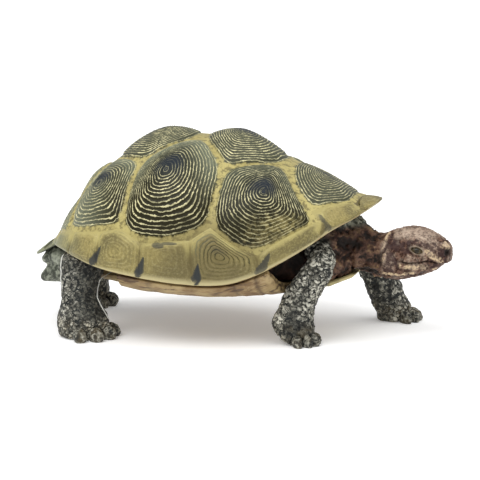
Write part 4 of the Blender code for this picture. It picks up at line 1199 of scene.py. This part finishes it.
def scale_outline(centre, normal, down, neighbours, squash, size):
    """Directions and radii of one plate: its share of the ground between its neighbours."""
    across = np.cross(normal, down)
    turns = even_turns(SCALE_SIDES)
    ways = np.cos(turns)[:, None] * down + np.sin(turns)[:, None] * across
    offsets = (neighbours - centre) @ squash.T
    pull = (ways @ squash.T) @ offsets.T
    lengths = (offsets ** 2).sum(axis=1)
    stretch = np.linalg.norm(ways @ squash.T, axis=1)
    limit = 0.95 * size / stretch
    radii = np.where(pull > 1e-6, lengths / (2 * np.maximum(pull, 1e-6)), 1e6)
    nearest = np.minimum(radii.min(axis=1), limit)
    nearest = 0.5 * nearest + 0.25 * (np.roll(nearest, 1) + np.roll(nearest, -1))
    return ways, nearest * SCALE_GAP


def leg_ground(leg, skin_points):
    """Numbers of the skin's points that one leg's scales may grow on."""
    axis = LEG_AXES[leg]
    distance, along, _ = axis_position(skin_points, axis)
    outside = (np.abs(skin_points[:, 1]) > SCALE_INNER) & (skin_points[:, 2] > 0.8)
    reach = np.where(skin_points[:, 2] > SCALE_ANKLE, *SCALE_REACH)
    return np.flatnonzero((distance < reach) & (along > 0.3) & outside
                          & (np.sign(skin_points[:, 1]) == np.sign(axis[0][1]))
                          & (np.sign(skin_points[:, 0]) == np.sign(axis[0][0])))


def plate(centre, normal, down, outline, rise):
    """Points of one plate, and how far each stands up from 0 to 1.

    Its rows run from the root up; the last two points are the middles of top and root."""
    ways, radii = outline
    tilt = ways @ down
    rim = centre + ways * radii[:, None] - (radii ** 2 / PLATE_CURVE)[:, None] * normal
    points = [centre + (rim - centre) - normal * SCALE_ROOT]
    crest = [np.zeros(SCALE_SIDES)]
    for share, tall in SCALE_RINGS:
        lean = 0.58 + 0.52 * tilt * share
        points.append(centre + (rim - centre) * share + normal * (rise * tall * lean)[:, None])
        crest.append(np.maximum(0.0, tall * lean))
    points.append([centre + normal * rise * 0.60, centre - normal * SCALE_ROOT])
    crest.append([0.58, 0.0])
    return np.concatenate(points), np.concatenate(crest)


def plate_faces():
    """Faces of one plate: its sides, its top and its root."""
    rows = len(SCALE_RINGS) + 1
    top = rows * SCALE_SIDES
    return np.array(loop_faces(0, rows, SCALE_SIDES)), np.array(
        fan_faces(top, top - SCALE_SIDES, SCALE_SIDES)
        + fan_faces(top + 1, 0, SCALE_SIDES, inward=True))


def plate_patch():
    """OFBake offsets of a plate's points from its root's place."""
    turns = even_turns(SCALE_SIDES)
    circle = np.stack([np.sin(turns), np.cos(turns)], axis=1)
    shares = [1.0] + [share for share, _ in SCALE_RINGS]
    return np.concatenate([circle * share for share in shares] + [np.zeros((2, 2))]) * PLATE_PATCH / 2


def build_scales(leg, skin_points, skin_normals, material, seed):
    """Solid overlapping plates over one leg, lying down along it."""
    axis = LEG_AXES[leg]
    index = list(LEG_AXES).index(leg)
    _, longer, height = LEG_SCALES[leg]
    ours = leg_ground(leg, skin_points)
    points, normals = skin_points[ours], skin_normals[ours]
    lie = np.array(axis[-1]) - np.array(axis[0])
    lie /= np.linalg.norm(lie)
    squash = np.eye(3) - np.outer(lie, lie) * (1 - 1 / longer)
    draws = np.random.default_rng(seed + 100)
    sizes = scale_size(points, leg) * (0.60 + 0.85 * draws.random(len(points)))
    chosen = scattered(points, sizes, squash, seed)
    centres = points[chosen]
    sides, ends = plate_faces()
    patch = plate_patch()
    spots, faces, crest, tone, uv = [], [], [], [], []
    for i in chosen:
        centre, normal, own = points[i], normals[i], sizes[i]
        down = lie - normal * lie.dot(normal)
        down /= np.linalg.norm(down)
        apart = np.linalg.norm(centres - centre, axis=1)
        near = centres[(apart > 1e-6) & (apart < own * 2.6 * longer)]
        if len(near) < 3:
            continue
        outline = scale_outline(centre, normal, down, near, squash, own)
        shade = draws.random()
        rise = height * (0.45 + 0.8 * draws.random()) * min(1.0, own / 1.2)
        start = len(spots) * len(patch)
        faces += (sides + start).tolist() + (ends + start).tolist()
        plate_points, plate_crest = plate(centre, normal, down, outline, rise)
        spots.append(plate_points)
        crest.append(plate_crest)
        tone += [shade] * len(patch)
        uv.append(chart_place(centre[None], centre[None], index) + patch)
    spots = np.concatenate(spots)
    spots[:, 2] = np.maximum(spots[:, 2], 0.02)
    attributes = {"crest": np.concatenate(crest), "cell": tone, "pale": scale_pale(spots, leg),
                  "foot": smooth_step((8.0 - spots[:, 2]) / 3.0)}
    piece = make_piece("scales_" + leg, spots, faces, material, attributes, np.concatenate(uv))
    fix_normals(piece)
    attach(piece, "root")
    return piece


def scale_pale(points, leg):
    """Where the dry brush touched a leg: 0 dark, 1 pale; on the near hind leg the dark front is also
    painted shade.
    """
    x, _, z = points.T
    broad = waves(points, 9.0, 61) * 0.25
    if leg == "front_right":
        offset = x - smooth_line(z, SHANK_LINE)
        middle = bell(offset - 0.6, 2.2) * smooth_step((27.0 - z) / 3.0)
        low = smooth_step((9.0 - z) / 3.0)
        return np.clip(1.05 + broad - 0.95 * middle - 0.68 * low, 0, 1)
    if leg == "front_left":
        ridges = waves(points * [1.0, 1.0, 0.22], 2.0, 62) * 0.75
        edge = smooth_line(z, [(0, 56.5), (12, 53.0), (25, 47.5)])
        front = smooth_step((x - edge) / 2.0)
        low = smooth_step((8.0 - z) / 4.0)
        return np.clip(0.16 + 0.5 * broad + ridges * (1 - low) + 0.45 * front + 0.25 * low, 0, 1)
    if leg == "hind_right":
        # the front of the near hind leg is darker: black wash, and painted shade
        front = smooth_step((x + 37.0) / 3.0)
        low = smooth_step((8.0 - z) / 3.0)
        return np.clip(0.55 + broad - 0.60 * front * (1 - low) + 0.1 * low, 0, 1)
    return np.clip(0.5 + broad, 0, 1)


# ================================================================= mould flash
FLASH_LEG = "hind_right"
# Each line: the way its edge of the leg faces from above, then its upper and its lower end.
FLASH_LINES = {"flash_rear": ((-0.80, -0.60), 27.0, 15.0), "flash_front": ((0.97, 0.0), 23.5, 6.0)}
FLASH_STEP = 0.6
FLASH_RADIUS = 0.2
FLASH_SIDES = 6


def build_flash(name, skin_points, material):
    """A thin ridge the mould left along one edge of the near hind leg."""
    toward, high, low = FLASH_LINES[name]
    distance = axis_position(skin_points, LEG_AXES[FLASH_LEG])[0]
    ours = skin_points[(distance < 11.0) & (skin_points[:, 1] < -15.0)]
    path = []
    for z in np.arange(high, low, -FLASH_STEP):
        level = ours[np.abs(ours[:, 2] - z) < FLASH_STEP]
        if len(level):
            edge = level[np.argmax(level[:, :2] @ np.array(toward))]
            path.append([edge[0], edge[1], z])
    path = np.array(path)
    for _ in range(4):
        path[1:-1] = 0.5 * path[1:-1] + 0.25 * (path[:-2] + path[2:])
    radii = np.full(len(path), FLASH_RADIUS)
    radii[[0, -1]] *= 0.35
    turns = even_turns(FLASH_SIDES)
    circle = np.stack([np.cos(turns), np.sin(turns), 0 * turns], axis=1)
    points = (path[:, None] + radii[:, None, None] * circle).reshape(-1, 3)
    faces = loop_faces(0, len(path), FLASH_SIDES)
    faces += [range(FLASH_SIDES), range(len(points) - FLASH_SIDES, len(points))]
    piece = make_piece(name, points, faces, material)
    fix_normals(piece)
    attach(piece, "root")
    return piece


# ================================================================= eyes and toes
def build_eye(side, name, material):
    """A glossy almond-cornered eyeball under the lids."""
    centre, along, out, up = eye_frame(side)
    around, rows = 48, 24
    bend = np.repeat(np.pi * np.arange(1, rows) / rows, around)
    turn = np.tile(even_turns(around), rows - 1)
    u = EYE_SIZE[0] * np.sin(bend) * np.cos(turn)
    v = EYE_SIZE[2] * np.sin(bend) * np.sin(turn)
    w = EYE_SIZE[1] * np.cos(bend)
    ball = centre + u[:, None] * along + v[:, None] * up + w[:, None] * out
    points = [centre + out * EYE_SIZE[1], *ball, centre - out * EYE_SIZE[1]]
    gaze = np.where(bend < np.pi / 2, 1 - np.hypot(u, v) / EYE_SIZE[0], 0.0)
    last = len(ball) + 1
    faces = fan_faces(0, 1, around) + loop_faces(1, rows - 1, around, inward=True)
    faces += fan_faces(last, last - around, around, inward=True)
    piece = make_piece(name + "_ball", points, faces, material, {"gaze": [1.0, *gaze, 0.0]})
    fix_normals(piece)
    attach(piece, "root")
    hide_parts(name)
    return piece


TOE_VOXEL = 0.24
TOE_SWELL = 0.08               # less than the skin's, so that the toes stay apart


def build_toes(leg, count, material):
    """The blunt toes of one foot, smoothed from their solids."""
    work = bmesh.new()
    names = ["%s_toe_%d" % (leg, i + 1) for i in range(count)]
    for name in names:
        add_swollen(work, name, TOE_SWELL)
    mesh = voxel_joined(work, TOE_VOXEL)
    work.free()
    points = smoothed(mesh_points(mesh), mesh_edges(mesh), 6)
    set_points(mesh, points)
    everywhere = np.ones(len(points), bool)
    ridges = grain(points, 1.5, 3, everywhere, ridged=True)
    rough = grain(points, 0.9, 2, everywhere)
    lift = (ridges - 0.4) * 0.22 + rough * 0.06 + 0.10
    points = points + mesh_normals(mesh) * lift[:, None]
    points[:, 2] = np.maximum(points[:, 2], 0.0)
    set_points(mesh, points)
    # a cleft is where two toes' middles are about equally far
    middles = in_millimetres(np.array([np.mean(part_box(name), axis=0) for name in names]))
    reach = np.sort(np.linalg.norm((points[:, None] - middles) * [1, 1, 0.3], axis=2), axis=1)
    cleft = 1 - smooth_step((reach[:, 1] - reach[:, 0]) / 1.4)
    piece = add_piece("toes_" + leg, mesh, material,
                      {"crest": np.clip(ridges + rough * 0.3, 0, 1), "cleft": cleft})
    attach(piece, "root")
    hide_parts(*names)
    return piece


# ================================================================= material tools
class Value:
    """A number inside a material; sums and products of values join math nodes."""

    def __init__(self, nodes, socket):
        self.nodes = nodes
        self.socket = socket

    def __add__(self, other):
        return self.nodes.math("ADD", self, other)

    def __sub__(self, other):
        return self.nodes.math("SUBTRACT", self, other)

    def __rsub__(self, other):
        return self.nodes.math("SUBTRACT", other, self)

    def __mul__(self, other):
        return self.nodes.math("MULTIPLY", self, other)

    def __abs__(self):
        return self.nodes.math("ABSOLUTE", self)

    def clamped(self):
        return self.nodes.math("ADD", self, 0.0, clamp=True)


class Nodes:
    """Short calls for building a material's nodes."""

    def __init__(self, name, roughness, specular):
        self.material = bpy.data.materials.new(name)
        self.material.use_nodes = True
        self.tree = self.material.node_tree
        self.shader = self.tree.nodes["Principled BSDF"]
        self.shader.inputs["Roughness"].default_value = roughness
        self.shader.inputs["Specular IOR Level"].default_value = specular

    def add(self, kind, **settings):
        node = self.tree.nodes.new(kind)
        for key, value in settings.items():
            setattr(node, key, value)
        return node

    def plug(self, socket, value):
        """Join a value or a colour to a socket, or set a constant on it."""
        if isinstance(value, Value):
            value = value.socket
        if isinstance(value, bpy.types.NodeSocket):
            self.tree.links.new(value, socket)
        elif isinstance(value, tuple) and socket.type == "RGBA":
            socket.default_value = (*value, 1)
        else:
            socket.default_value = value

    def attributes(self, *names):
        """The numbers that the mesh carries under these names."""
        return [Value(self, self.add("ShaderNodeAttribute", attribute_name=name).outputs["Fac"])
                for name in names]

    def math(self, operation, a, b=0.0, clamp=False):
        node = self.add("ShaderNodeMath", operation=operation, use_clamp=clamp)
        self.plug(node.inputs[0], a)
        self.plug(node.inputs[1], b)
        return Value(self, node.outputs[0])

    def mix(self, share, a, b):
        """Colour a where share is 0, colour b where it is 1."""
        node = self.add("ShaderNodeMix", data_type="RGBA")
        self.plug(node.inputs["Factor"], share)
        self.plug(node.inputs[6], a)
        self.plug(node.inputs[7], b)
        return node.outputs[2]

    def blend(self, share, a, b):
        """Number a where share is 0, number b where it is 1."""
        node = self.add("ShaderNodeMix", data_type="FLOAT")
        self.plug(node.inputs["Factor"], share)
        self.plug(node.inputs[2], a)
        self.plug(node.inputs[3], b)
        return Value(self, node.outputs[0])

    def noise(self, scale, detail=3.0, roughness=0.55, distortion=0.0, stretch=None):
        """Noise in object space; scale counts features per metre."""
        place = self.add("ShaderNodeTexCoord").outputs["Object"]
        if stretch:
            mapping = self.add("ShaderNodeMapping")
            mapping.inputs["Scale"].default_value = stretch
            self.plug(mapping.inputs["Vector"], place)
            place = mapping.outputs[0]
        node = self.add("ShaderNodeTexNoise")
        self.plug(node.inputs["Vector"], place)
        node.inputs["Scale"].default_value = scale
        node.inputs["Detail"].default_value = detail
        node.inputs["Roughness"].default_value = roughness
        node.inputs["Distortion"].default_value = distortion
        return Value(self, node.outputs["Fac"])

    def ramp(self, value, low, high):
        """0 at low, 1 at high, smooth between; low may be above high."""
        node = self.add("ShaderNodeMapRange", interpolation_type="SMOOTHSTEP")
        self.plug(node.inputs["Value"], value)
        node.inputs["From Min"].default_value = low
        node.inputs["From Max"].default_value = high
        return Value(self, node.outputs[0])

    def bump(self, height, distance, strength):
        node = self.add("ShaderNodeBump")
        node.inputs["Strength"].default_value = strength
        node.inputs["Distance"].default_value = distance
        self.plug(node.inputs["Height"], height)
        self.plug(self.shader.inputs["Normal"], node.outputs[0])

    def colour(self, value):
        self.plug(self.shader.inputs["Base Color"], value)

    def roughness(self, value):
        self.plug(self.shader.inputs["Roughness"], value)


# ================================================================= materials
OLIVE = (0.28, 0.23, 0.086)
OLIVE_DARK = (0.145, 0.122, 0.052)
OLIVE_DUSK = (0.125, 0.100, 0.042)
SEAM_YELLOW = (0.46, 0.395, 0.155)
LINE_CREAM = (0.80, 0.74, 0.42)
RING_SHEEN_GREY = (0.019, 0.023, 0.014)
RING_BROWN = (0.012, 0.011, 0.003)
UMBO_SHEEN_BLACK = (0.012, 0.018, 0.026)
MARK_SLATE = (0.024, 0.029, 0.033)
SHEEN_GREEN = (0.250, 0.275, 0.185)
RIM_YELLOW = (0.58, 0.51, 0.28)


def shell_material():
    """Olive paint, black growth rings with cream crests, yellow seams and rim marks, and painted
    sheen.
    """
    n = Nodes("shell_paint", 0.42, 0.15)
    ring, shape, black, upper, border = n.attributes("ring", "level", "black", "upper", "border")
    margin, dusk, rear, sheen = n.attributes("margin", "dusk", "rear", "sheen")
    patches = n.noise(95, 3)
    brush = n.noise(650, 4, 0.6, 0.4)
    specks = n.noise(1700, 2, 0.6)
    smears = n.noise(560, 4, 0.70)
    across = abs(n.math("FRACT", ring) - 0.5)
    # the dark cap above each umbo, where the rings hardly show: black paint with a painted bluish
    # sheen
    cap = n.ramp(upper, 0.15, 0.75) * (1.0 - n.ramp(shape, 0.22, 0.48))
    cap = n.math("MAXIMUM", cap, 1.0 - n.ramp(shape, 0.03, 0.09))
    # the crest of each ring is a narrow cream line, ragged where the brush skipped
    line = 1.0 - n.ramp(across + (brush * 0.50 - 0.25), 0.06, 0.17)
    line = line * n.ramp(specks, 0.28, 0.46) * (n.ramp(n.noise(240, 3), 0.38, 0.58) * 0.6 + 0.4)
    line = line * (1.0 - cap * 0.85) * (1.0 - upper * 0.30) * (1.0 - dusk * 0.6)
    # base paint under the rings
    ground = n.mix(n.ramp(patches, 0.35, 0.65), OLIVE_DARK, OLIVE)
    ground = n.mix(n.ramp(specks, 0.45, 0.65) * 0.35, ground, SEAM_YELLOW)
    ground = n.mix(n.ramp(brush, 0.52, 0.66) * 0.35, ground, OLIVE_DARK)
    ground = n.mix(dusk * 0.75, ground, OLIVE_DUSK)
    # painted grey-green sheen towards the tail, grey-green paint at its very end
    ground = n.mix(rear * 0.8, ground, SHEEN_GREEN)
    # the seam's yellow runs a little way down onto the scutes along the rim
    fringe = n.ramp(brush * 1.8 + (border - 0.9), 2.1, -0.2) * n.ramp(upper, 0.40, 0.75)
    ground = n.mix(fringe * (margin * 0.70), ground, SEAM_YELLOW)
    # black paint, worn through to the ground, with the lines and the cap over it
    worn = brush * 0.9 - 0.45
    thin = (n.ramp(across, 0.30, 0.42) * 1.3 - 0.3).clamped()
    patchy = thin * (n.ramp(patches, 0.40, 0.60) * 0.6 + 0.2)
    wear = n.ramp(black + worn, 0.18, 0.62) * n.blend(margin, 0.97, patchy)
    # painted sheen: ring bands grey on the scutes' upper parts, grey-green where the sheen attribute
    # is high
    band = n.mix(sheen * (brush * 1.2 + 0.2).clamped(), n.mix(upper, RING_BROWN, RING_SHEEN_GREY),
                 SHEEN_GREEN)
    rings = n.mix(wear, ground, band)
    rings = n.mix(cap * n.ramp(black, 0.5, 0.8), rings, UMBO_SHEEN_BLACK)
    rings = n.mix(line * n.blend(margin, 1.0, 0.25) * (black * 0.65 + 0.3), rings, LINE_CREAM)
    # the seams, with brown and olive smears running out of the rings
    seam = 1.0 - n.ramp(border + (smears * 2.6 - 1.3), -0.45, 0.45)
    seam_paint = n.mix(n.ramp(smears, 0.46, 0.62) * 0.80, SEAM_YELLOW, OLIVE_DARK)
    seam_paint = n.mix(n.ramp(patches, 0.45, 0.65) * 0.35, seam_paint, OLIVE)
    seam_paint = n.mix(dusk * 0.6, seam_paint, OLIVE_DUSK)
    joint = n.ramp(border + worn, 0.00, -0.45) * 0.85 * (1.0 - rear * 0.8)
    joint = joint * n.ramp(upper, 0.85, 0.45)
    seam_paint = n.mix(margin, seam_paint, n.mix(joint, ground, OLIVE_DUSK))
    paint = n.mix(seam, rings, seam_paint)
    # the pale rim and its dark marks
    wedge, rim = n.attributes("wedge", "rim")
    paint = n.mix(rim * 0.75, paint, RIM_YELLOW)
    mark = n.ramp(wedge + (smears - 0.5), 0.20, 0.50) * (wedge * 0.6 + 0.35)
    n.colour(n.mix(mark, paint, MARK_SLATE))
    n.roughness(brush * 0.25 + 0.27)
    n.bump(brush + specks * 0.5, 0.00006, 0.6)
    return n.material


PLASTRON_TAN = (0.36, 0.265, 0.125)
PLASTRON_BROWN = (0.19, 0.115, 0.050)
PLASTRON_CREAM = (0.50, 0.38, 0.20)
GULAR_YELLOW = (0.47, 0.41, 0.19)
STREAK_UMBER = (0.060, 0.032, 0.020)
GROOVE_UMBER = (0.045, 0.025, 0.015)
INSIDE_DARK = (0.10, 0.065, 0.035)
INSIDE_BROWN = (0.20, 0.15, 0.075)
LIP_BROWN = (0.36, 0.26, 0.12)
REAR_DARK = (0.10, 0.11, 0.08)
REAR_GREEN = (0.24, 0.26, 0.19)


def plastron_material():
    """Tan paint with slanting brown streaks, pale towards the throat."""
    n = Nodes("plastron_paint", 0.5, 0.3)
    groove, gular = n.attributes("groove", "gular")
    streaks = n.noise(260, 4, 0.65, 1.2, stretch=(0.35, 1.0, 1.2))
    fine = n.noise(1400, 3, 0.6)
    paint = n.mix(n.ramp(n.noise(120, 3), 0.38, 0.62), PLASTRON_BROWN, PLASTRON_TAN)
    paint = n.mix(n.ramp(gular, 0.2, 0.8), paint, GULAR_YELLOW)
    paint = n.mix(n.ramp(streaks, 0.50, 0.62) * 0.85 * (1.0 - gular * 0.6), paint, STREAK_UMBER)
    paint = n.mix(n.ramp(streaks, 0.48, 0.36) * 0.4, paint, PLASTRON_CREAM)
    n.colour(n.mix((1.0 - groove) * 0.8, paint, GROOVE_UMBER))
    n.bump(fine + streaks, 0.0001, 0.6)
    return n.material


def inside_material():
    """The shell's lip, rim yellow, and its dull brown inside, grey-green at the tail end."""
    n = Nodes("shell_inside_paint", 0.6, 0.25)
    edge, rear = n.attributes("edge", "rear")
    patches = n.noise(180, 3)
    share = n.ramp(patches, 0.35, 0.65)
    paint = n.mix(edge, n.mix(share, INSIDE_DARK, INSIDE_BROWN),
                  n.mix(share, RIM_YELLOW, LIP_BROWN))
    green = n.mix(n.ramp(patches, 0.40, 0.60), REAR_DARK, REAR_GREEN)
    n.colour(n.mix(rear, paint, green))
    n.bump(patches, 0.0001, 0.4)
    return n.material


SKIN_CHARCOAL = (0.020, 0.022, 0.021)
SKIN_OLIVE = (0.072, 0.060, 0.038)
SCALE_GREY = (0.30, 0.29, 0.235)
SCALE_BRIGHT = (0.72, 0.70, 0.60)
FOOT_DOT = (0.62, 0.57, 0.44)
HEAD_UMBER = (0.036, 0.015, 0.009)
HEAD_TAN = (0.135, 0.074, 0.050)
HEAD_BEIGE = (0.47, 0.365, 0.28)
HEAD_GOLD = (0.62, 0.47, 0.29)
HEAD_DARK_AND_SHADE = (0.040, 0.020, 0.019)
HEAD_BLACK = (0.010, 0.006, 0.004)
FOLD_OLIVE = (0.33, 0.225, 0.100)
LID_GREEN = (0.30, 0.25, 0.18)
SHADOW_BLACK = (0.012, 0.008, 0.006)
SHADOW_BROWN = (0.060, 0.028, 0.018)
TAIL_DARK = (0.060, 0.066, 0.050)
TAIL_GREEN = (0.33, 0.35, 0.27)
CLEFT_BLACK = (0.012, 0.012, 0.011)
TOE_BLACK = (0.010, 0.010, 0.009)
FLASH_GREY = (0.30, 0.30, 0.27)
FLASH_WHITE = (0.80, 0.80, 0.74)
IRIS_DARK = (0.040, 0.030, 0.012)
IRIS_OLIVE = (0.115, 0.085, 0.038)
PUPIL_BLACK = (0.010, 0.008, 0.005)


def leg_paint(n, wash, top):
    """Legs under their scales, the body wall in painted shadow, rump and tail."""
    foot, pocket_shade, tail = n.attributes("foot", "pocket_shade", "tail")
    paint = n.mix(n.ramp(wash, 0.45, 0.65) * foot, SKIN_CHARCOAL, SKIN_OLIVE)
    paint = n.mix(n.ramp(top, 0.45, 0.95) * 0.5, paint, SCALE_GREY)
    # painted shade in the shell's openings
    shadow = n.mix(n.ramp(wash, 0.40, 0.62), SHADOW_BLACK, SHADOW_BROWN)
    paint = n.mix(pocket_shade * 0.95, paint, shadow)
    return n.mix(tail * 0.9, paint, n.mix(n.ramp(top, 0.15, 0.75), TAIL_DARK, TAIL_GREEN))


def neck_paint(n, wash, top):
    """Dark valleys and golden folds."""
    paint = n.mix(n.ramp(wash, 0.38, 0.60), HEAD_UMBER, HEAD_TAN)
    fold = n.ramp(top, 0.58, 1.00) * (n.ramp(wash, 0.42, 0.58) * 0.7 + 0.3)
    paint = n.mix(fold * 0.65, paint, FOLD_OLIVE)
    return n.mix(1.0 - n.ramp(top, 0.15, 0.60), paint, HEAD_BLACK)


def face_paint(n, wash, top, brush, stipple):
    """Umber under beige stipple, with gold strokes, dark patches and painted shade."""
    gold, pale, shade = n.attributes("gold", "pale", "shade")
    dabs = n.ramp(stipple + brush * 0.7, 0.72, 0.96)
    paint = n.mix(n.ramp(top, 0.30, 0.75), HEAD_UMBER, HEAD_TAN)
    paint = n.mix(n.ramp(wash, 0.46, 0.62) * (dabs * 0.45 + 0.22), paint, HEAD_BEIGE)
    paint = n.mix(pale * (dabs * 0.75 + 0.28), paint, HEAD_BEIGE)
    # dark paint patches, with painted shade under the lip, on the jaw and along the snout
    paint = n.mix(n.ramp(shade, 0.15, 0.75) * 0.80, paint, HEAD_DARK_AND_SHADE)
    strokes = n.ramp(brush * 1.2 + (stipple * 0.8 + gold), 1.15, 1.95) * n.ramp(gold, 0.10, 0.50)
    strokes = strokes * (n.ramp(top, 0.25, 0.60) * 0.75 + 0.25)
    return n.mix(strokes * 0.85, paint, HEAD_GOLD)


def skin_material():
    """Charcoal legs, brown head and neck with beige and gold dry brushing."""
    n = Nodes("skin_paint", 0.5, 0.15)
    crest, brown, head, lid, black = n.attributes("crest", "brown", "head", "lid", "black")
    wash = n.noise(170, 4, 0.62, 0.6)
    brush = n.noise(850, 5, 0.7, 0.5)
    stipple = n.noise(1250, 4, 0.75)
    top = crest + (brush * 1.2 - 0.6)
    warm = n.mix(head, neck_paint(n, wash, top), face_paint(n, wash, top, brush, stipple))
    paint = n.mix(brown, leg_paint(n, wash, top), warm)
    paint = n.mix(lid * 0.45, paint, LID_GREEN)
    n.colour(n.mix(black, paint, HEAD_BLACK))
    n.roughness(brush * 0.3 + 0.30)
    n.bump(brush + stipple * 0.6, 0.00018, 0.9)
    return n.material


def scale_material():
    """Dry-brushed scales: charcoal in the clefts, pale where the brush touched; the pale share also
    carries painted shade.
    """
    n = Nodes("scale_paint", 0.5, 0.18)
    crest, cell, pale, foot = n.attributes("crest", "cell", "pale", "foot")
    wash = n.noise(230, 4, 0.6)
    brush = n.noise(900, 5, 0.75, 0.6)
    marks = n.noise(430, 5, 0.72, 1.4)
    top = crest * 0.55 + (brush * 2.8 - 1.3) + (cell * 0.3 - 0.15)
    paint = n.mix(n.ramp(wash, 0.40, 0.65) * (foot * 0.8 + 0.2), SKIN_CHARCOAL, SKIN_OLIVE)
    paint = n.mix(n.ramp(top, 0.12, 0.70) * (pale * 0.75 + 0.25), paint, SCALE_GREY)
    bright = n.ramp(top, 0.42, 0.95) * n.ramp(pale, 0.25, 0.95) * n.ramp(wash, 0.36, 0.54)
    paint = n.mix(bright * 0.95, paint, SCALE_BRIGHT)
    streaks = n.ramp(marks, 0.54, 0.60) * (pale * 0.80 + 0.05)
    paint = n.mix(streaks, paint, n.mix(foot, SCALE_BRIGHT, FOOT_DOT))
    n.colour(n.mix(n.ramp(marks, 0.49, 0.43) * (1.0 - pale * 0.45), paint, CLEFT_BLACK))
    n.roughness(brush * 0.3 + 0.42)
    n.bump(brush + marks, 0.0003, 1.0)
    return n.material


def flash_material():
    """Bare pale plastic along the mould's parting line."""
    n = Nodes("flash_paint", 0.45, 0.4)
    n.colour(n.mix(n.ramp(n.noise(600, 3), 0.30, 0.5), FLASH_GREY, FLASH_WHITE))
    return n.material


def toe_material():
    """Blunt toes: charcoal and olive, brushed grey with yellow-grey dots."""
    n = Nodes("toe_paint", 0.5, 0.18)
    crest, cleft = n.attributes("crest", "cleft")
    brush = n.noise(800, 5, 0.7, 0.5)
    top = crest + (brush * 1.6 - 0.75)
    paint = n.mix(n.ramp(n.noise(220, 3), 0.4, 0.65), SKIN_CHARCOAL, SKIN_OLIVE)
    paint = n.mix(n.ramp(top, 0.35, 0.95) * 0.65, paint, SCALE_GREY)
    paint = n.mix(n.ramp(top, 0.85, 1.25) * 0.5, paint, SCALE_BRIGHT)
    paint = n.mix(n.ramp(n.noise(1400, 3, 0.7), 0.58, 0.68) * 0.45, paint, FOOT_DOT)
    n.colour(n.mix(cleft * 0.9, paint, TOE_BLACK))
    n.roughness(brush * 0.25 + 0.40)
    n.bump(brush, 0.00015, 0.9)
    return n.material


def eye_material():
    """Gloss paint: dark olive iris round a black pupil."""
    n = Nodes("eye_gloss", 0.30, 0.3)
    gaze = n.attributes("gaze")[0]
    iris = n.mix(n.ramp(n.noise(1500, 3), 0.4, 0.6), IRIS_DARK, IRIS_OLIVE)
    n.colour(n.mix(n.ramp(gaze, 0.55, 0.80) * 0.85, iris, PUPIL_BLACK))
    n.shader.inputs["Coat Weight"].default_value = 0.10
    n.shader.inputs["Coat Roughness"].default_value = 0.20
    return n.material


# ================================================================= stage
CAMERA_AZIMUTH = 15.0
CAMERA_ELEVATION = 9.0
CAMERA_DISTANCE = 0.55
CAMERA_LENS = 123.75
AIM = Vector((0.00057, 0.0, 0.02994))
FLOOR_GREY = (0.93, 0.93, 0.93)
FLOOR_GLOW = 0.20              # keeps the floor pale in the figure's own shadow
FLOOR_SIZE = 60
SURROUND_STRENGTH = 0.47
# Suns: the way the light falls, its strength and its softness in degrees.
SUNS = {"key": ((0.30, 0.80, -1.1), 1.58, 40), "top": ((-0.25, 0.15, -1.0), 1.5, 80)}


def build_camera():
    """A long lens that looks at the figure from a little ahead of its right side."""
    turn = math.radians(CAMERA_AZIMUTH)
    rise = math.radians(CAMERA_ELEVATION)
    away = Vector((math.sin(turn) * math.cos(rise), -math.cos(turn) * math.cos(rise),
                   math.sin(rise)))
    data = bpy.data.cameras.new("camera")
    data.lens = CAMERA_LENS
    data.sensor_width = 36
    data.clip_start = 0.01
    camera = bpy.data.objects.new("camera", data)
    camera.location = AIM + away * CAMERA_DISTANCE
    camera.rotation_euler = (-away).to_track_quat("-Z", "Y").to_euler()
    bpy.context.scene.collection.objects.link(camera)
    bpy.context.scene.camera = camera


def add_sun(name, direction, strength, softness):
    """A broad soft light that falls along direction."""
    data = bpy.data.lights.new(name, "SUN")
    data.energy = strength
    data.angle = math.radians(softness)
    lamp = bpy.data.objects.new(name, data)
    lamp.rotation_euler = Vector(direction).to_track_quat("-Z", "Y").to_euler()
    bpy.context.scene.collection.objects.link(lamp)


def build_stage():
    """Pale floor, white surroundings and soft lights."""
    n = Nodes("floor_white", 0.7, 0.2)
    n.colour(FLOOR_GREY)
    n.shader.inputs["Emission Color"].default_value = (1, 1, 1, 1)
    n.shader.inputs["Emission Strength"].default_value = FLOOR_GLOW
    bpy.ops.mesh.primitive_plane_add(size=FLOOR_SIZE)
    floor = bpy.context.object
    floor.name = "floor"
    floor.data.materials.append(n.material)
    world = bpy.data.worlds.new("studio")
    bpy.context.scene.world = world
    world.use_nodes = True
    background = world.node_tree.nodes["Background"]
    background.inputs["Color"].default_value = (1, 1, 1, 1)
    background.inputs["Strength"].default_value = SURROUND_STRENGTH
    for name, (direction, strength, softness) in SUNS.items():
        add_sun(name, direction, strength, softness)
    view = bpy.context.scene.view_settings
    view.view_transform = "Standard"
    view.look = "None"


# ================================================================= whole figure
def main():
    build_camera()
    build_stage()
    shell_paint = shell_material()
    scutes = build_shell(shell_paint)
    for piece in scutes:
        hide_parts("carapace")
    build_shell_inside(inside_material())
    build_plastron(plastron_material())
    skin = build_skin(skin_material())
    skin_points, skin_normals = mesh_points(skin.data), mesh_normals(skin.data)
    scale_paint = scale_material()
    for seed, leg in enumerate(LEG_AXES):
        build_scales(leg, skin_points, skin_normals, scale_paint, seed + 1)
    flash_paint = flash_material()
    for name in FLASH_LINES:
        build_flash(name, skin_points, flash_paint)
    eye_paint = eye_material()
    build_eye(1, "eye_left", eye_paint)
    build_eye(-1, "eye_right", eye_paint)
    toe_paint = toe_material()
    for leg in LEG_AXES:
        build_toes(leg, 5 if leg.startswith("front") else 4, toe_paint)


main()
